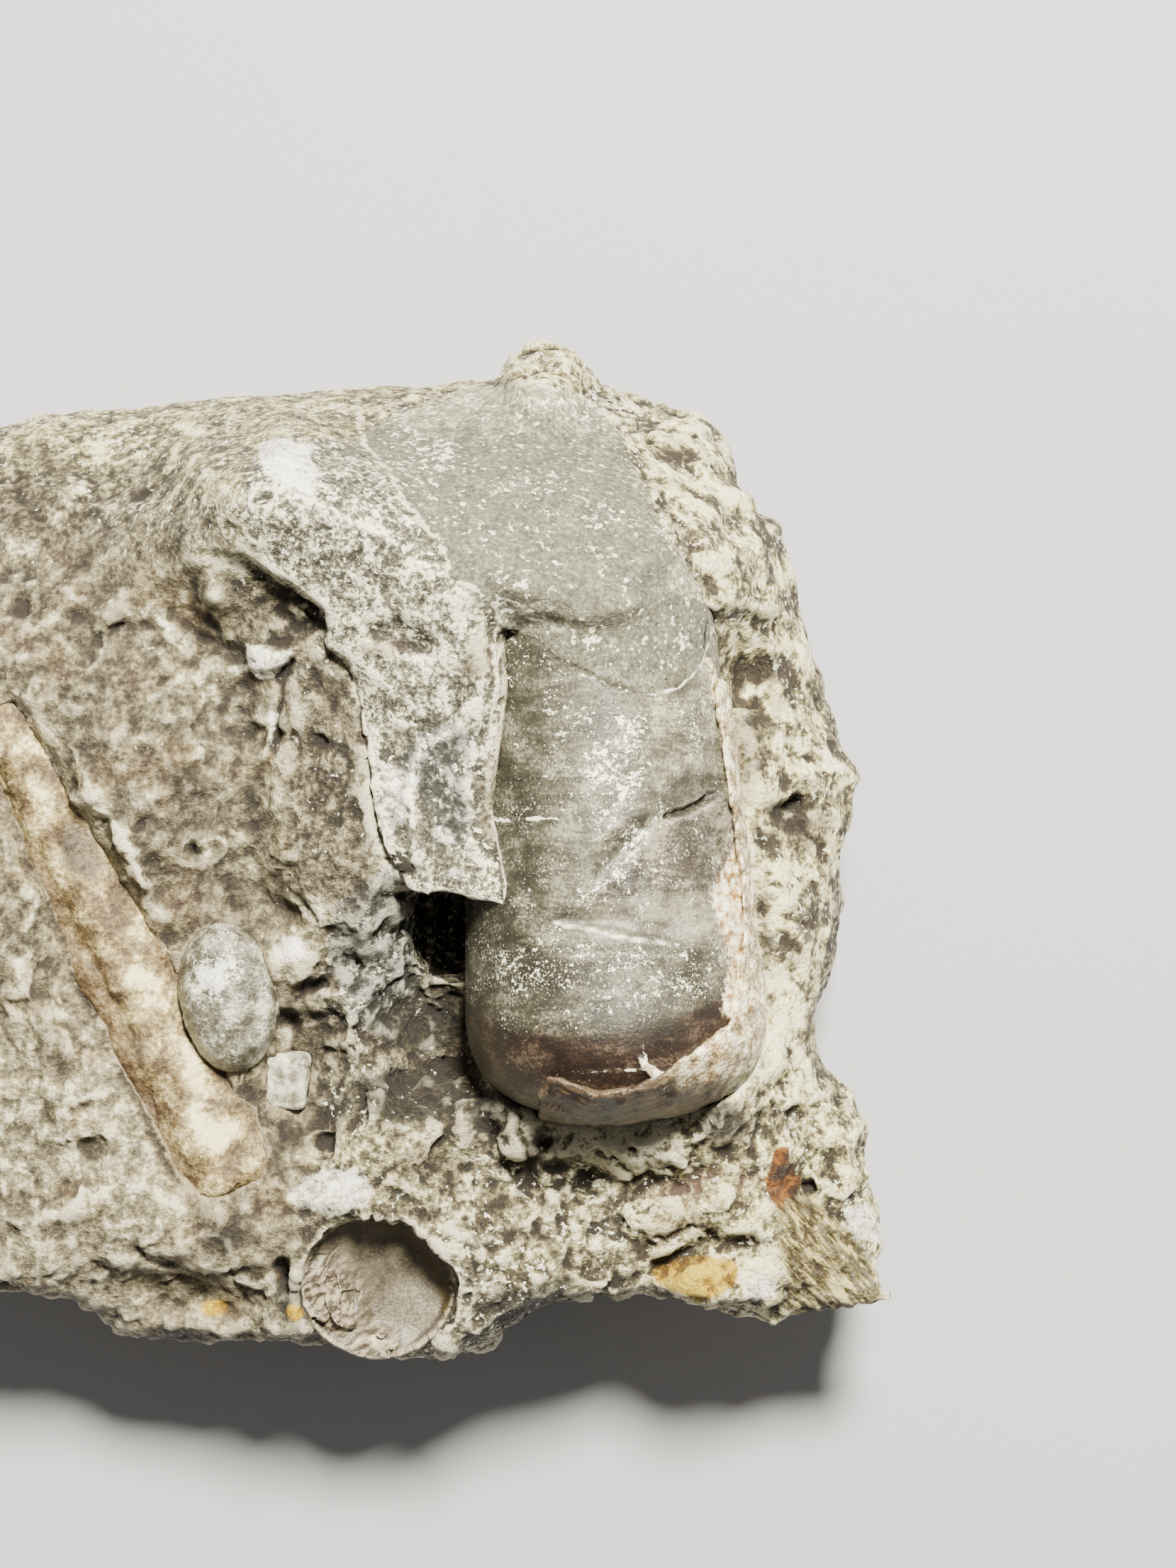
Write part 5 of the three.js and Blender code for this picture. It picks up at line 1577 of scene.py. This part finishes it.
def glassy_finish():
    """Glassy calcite: clear grey, with milky patches and white cleavage cracks."""
    f = Finish("glassy calcite")
    fine = f.noise(0.2, 4, 0.62)
    cloud = f.noise(1.4, 5, 0.6, 5.0)
    tone = f.step(cloud * 0.7 + fine * 0.3, 0.36, 0.64)
    f.colour = f.ramp(tone, *CLEAR_GREY)
    crack = f.step(abs(f.noise(0.9, 3, 0.6, 8.0) - 0.5), 0.03, 0.006)
    cracks = crack * f.step(cloud + f.layer("bright") * 0.3, 0.42, 0.6)
    milky = f.frayed("bright", tone, 1.1, 0.4, 0.9)
    f.coat(milky * 0.85, f.mix(fine, (0.3, 0.29, 0.24), (0.95, 0.94, 0.88)))
    f.coat(cracks * 0.8, (0.85, 0.84, 0.77))
    # painted shade in crevices
    f.coat(f.step(f.layer("worn"), 0.0, -0.08) * 0.6, (0.04, 0.028, 0.016))
    height = cloud * 0.7 + fine * 0.3 + cracks * 0.2
    return f.done(f.step(fine, 0.3, 0.7, 0.3, 0.14), height, 0.35, 0.8)


def valve_finish():
    """Brown-grey shell with a thin olive rim and strands of stone."""
    f = Finish("valve shell")
    fine = f.noise(0.18, 3, 0.6)
    cloud = f.noise(1.1, 3, 0.6, 3.0)
    f.colour = f.mix(f.step(cloud, 0.3, 0.7), (0.035, 0.027, 0.018), (0.1, 0.082, 0.057))
    f.coat(f.step(fine, 0.5, 0.7, 0.0, 0.5), (0.17, 0.14, 0.1))
    strand = f.noise(0.34, 3, 0.6, 1.0, (3.0, 1.0, 1.0), 35)
    matter = f.mix(f.step(strand, 0.42, 0.62), (0.04, 0.028, 0.018), (0.36, 0.3, 0.21))
    f.coat(f.layer("strands") * 0.85, matter)
    # the lobe's paler grey, with painted light
    lobe = f.mix(f.step(fine, 0.35, 0.65), (0.085, 0.073, 0.054), (0.22, 0.195, 0.15))
    f.coat(f.layer("lobe") * 0.8, lobe)
    rim = f.step(f.layer("rim"), 0.35, 0.1)
    f.coat(rim * 0.8, f.mix(cloud, (0.03, 0.02, 0.004), (0.12, 0.085, 0.02)))
    worn = f.layer("worn")
    # painted shade in crevices, painted highlight on raised edges
    f.coat(f.step(worn, 0.0, -0.08) * 0.7, (0.02, 0.012, 0.007))
    f.coat(f.step(worn, 0.02, 0.1) * 0.45, (0.4, 0.35, 0.26))
    _, _, face = f.grains(0.28, 6.0)
    return f.done(f.step(fine, 0.3, 0.7, 0.5, 0.35), face * 0.4 + fine * 0.3, 0.25, 0.8)


def white_finish():
    """White calcite with bright cleavage steps."""
    f = Finish("white calcite")
    fine = f.noise(0.2, 3, 0.6)
    cloud = f.noise(0.7, 3, 0.6, 3.0)
    f.colour = f.mix(f.step(cloud, 0.35, 0.65), (0.12, 0.108, 0.078), (0.5, 0.48, 0.4))
    # painted shade in crevices
    f.coat(f.step(f.layer("worn"), 0.0, -0.08) * 0.7, (0.05, 0.035, 0.02))
    steps = f.noise(0.3, 1, 0.5, 2.0, (5.0, 1.0, 5.0), 60)
    return f.done(f.step(fine, 0.3, 0.7, 0.4, 0.2), steps * 0.5 + fine * 0.25, 0.2, 0.8)


# ---------------------------------------------------------------- floor, light and camera


def paper_floor():
    """A plain pale floor, just below the stone."""
    mesh = bmesh.new()
    bmesh.ops.create_grid(mesh, x_segments=1, y_segments=1, size=1.2)
    bmesh.ops.translate(mesh, vec=(0, 0, -0.0001), verts=mesh.verts)
    made = bpy.data.meshes.new("floor")
    mesh.to_mesh(made)
    mesh.free()
    floor = into_scene("floor", made)
    paper = bpy.data.materials.new("paper")
    paper.use_nodes = True
    surface = paper.node_tree.nodes["Principled BSDF"].inputs
    surface["Base Color"].default_value = (0.335, 0.338, 0.375, 1)
    surface["Roughness"].default_value = 0.9
    made.materials.append(paper)


def light():
    """One large soft lamp from behind the specimen, and a pale room."""
    lamp = bpy.data.lights.new("window", "AREA")
    lamp.shape = "DISK"
    lamp.size = 0.11
    lamp.energy = 14.3
    lamp.color = (1.0, 0.962, 0.8)
    window = into_scene("window", lamp)
    middle = Vector((0.008, 0.002, 0.018))
    window.location = middle + Vector((0.065, 0.215, 0.4))
    window.rotation_euler = (middle - window.location).to_track_quat("-Z", "Y").to_euler()

    world = bpy.data.worlds.new("room")
    world.use_nodes = True
    room = world.node_tree.nodes["Background"].inputs
    room["Color"].default_value = (1.0, 0.955, 0.86, 1)
    room["Strength"].default_value = 0.28
    bpy.context.scene.world = world


def camera():
    """Straight above the face, in the middle of the view."""
    lens = bpy.data.cameras.new("camera")
    lens.sensor_fit = "VERTICAL"
    lens.sensor_height = 36
    lens.lens = lens.sensor_height * (EYE[2] - FACE_LEVEL) / VIEW_HEIGHT
    lens.clip_start = 0.005
    lens.clip_end = 5
    made = into_scene("camera", lens)
    made.location = EYE * MM
    bpy.context.scene.camera = made


# ---------------------------------------------------------------- the specimen

camera()
paper_floor()
light()
core = mould()
fossils = (core, shell(), small_orthocone(), ossicle(), valve(), crystal())
limestone(surface_of(*(piece.data for piece in fossils)), surface_of(core.data))
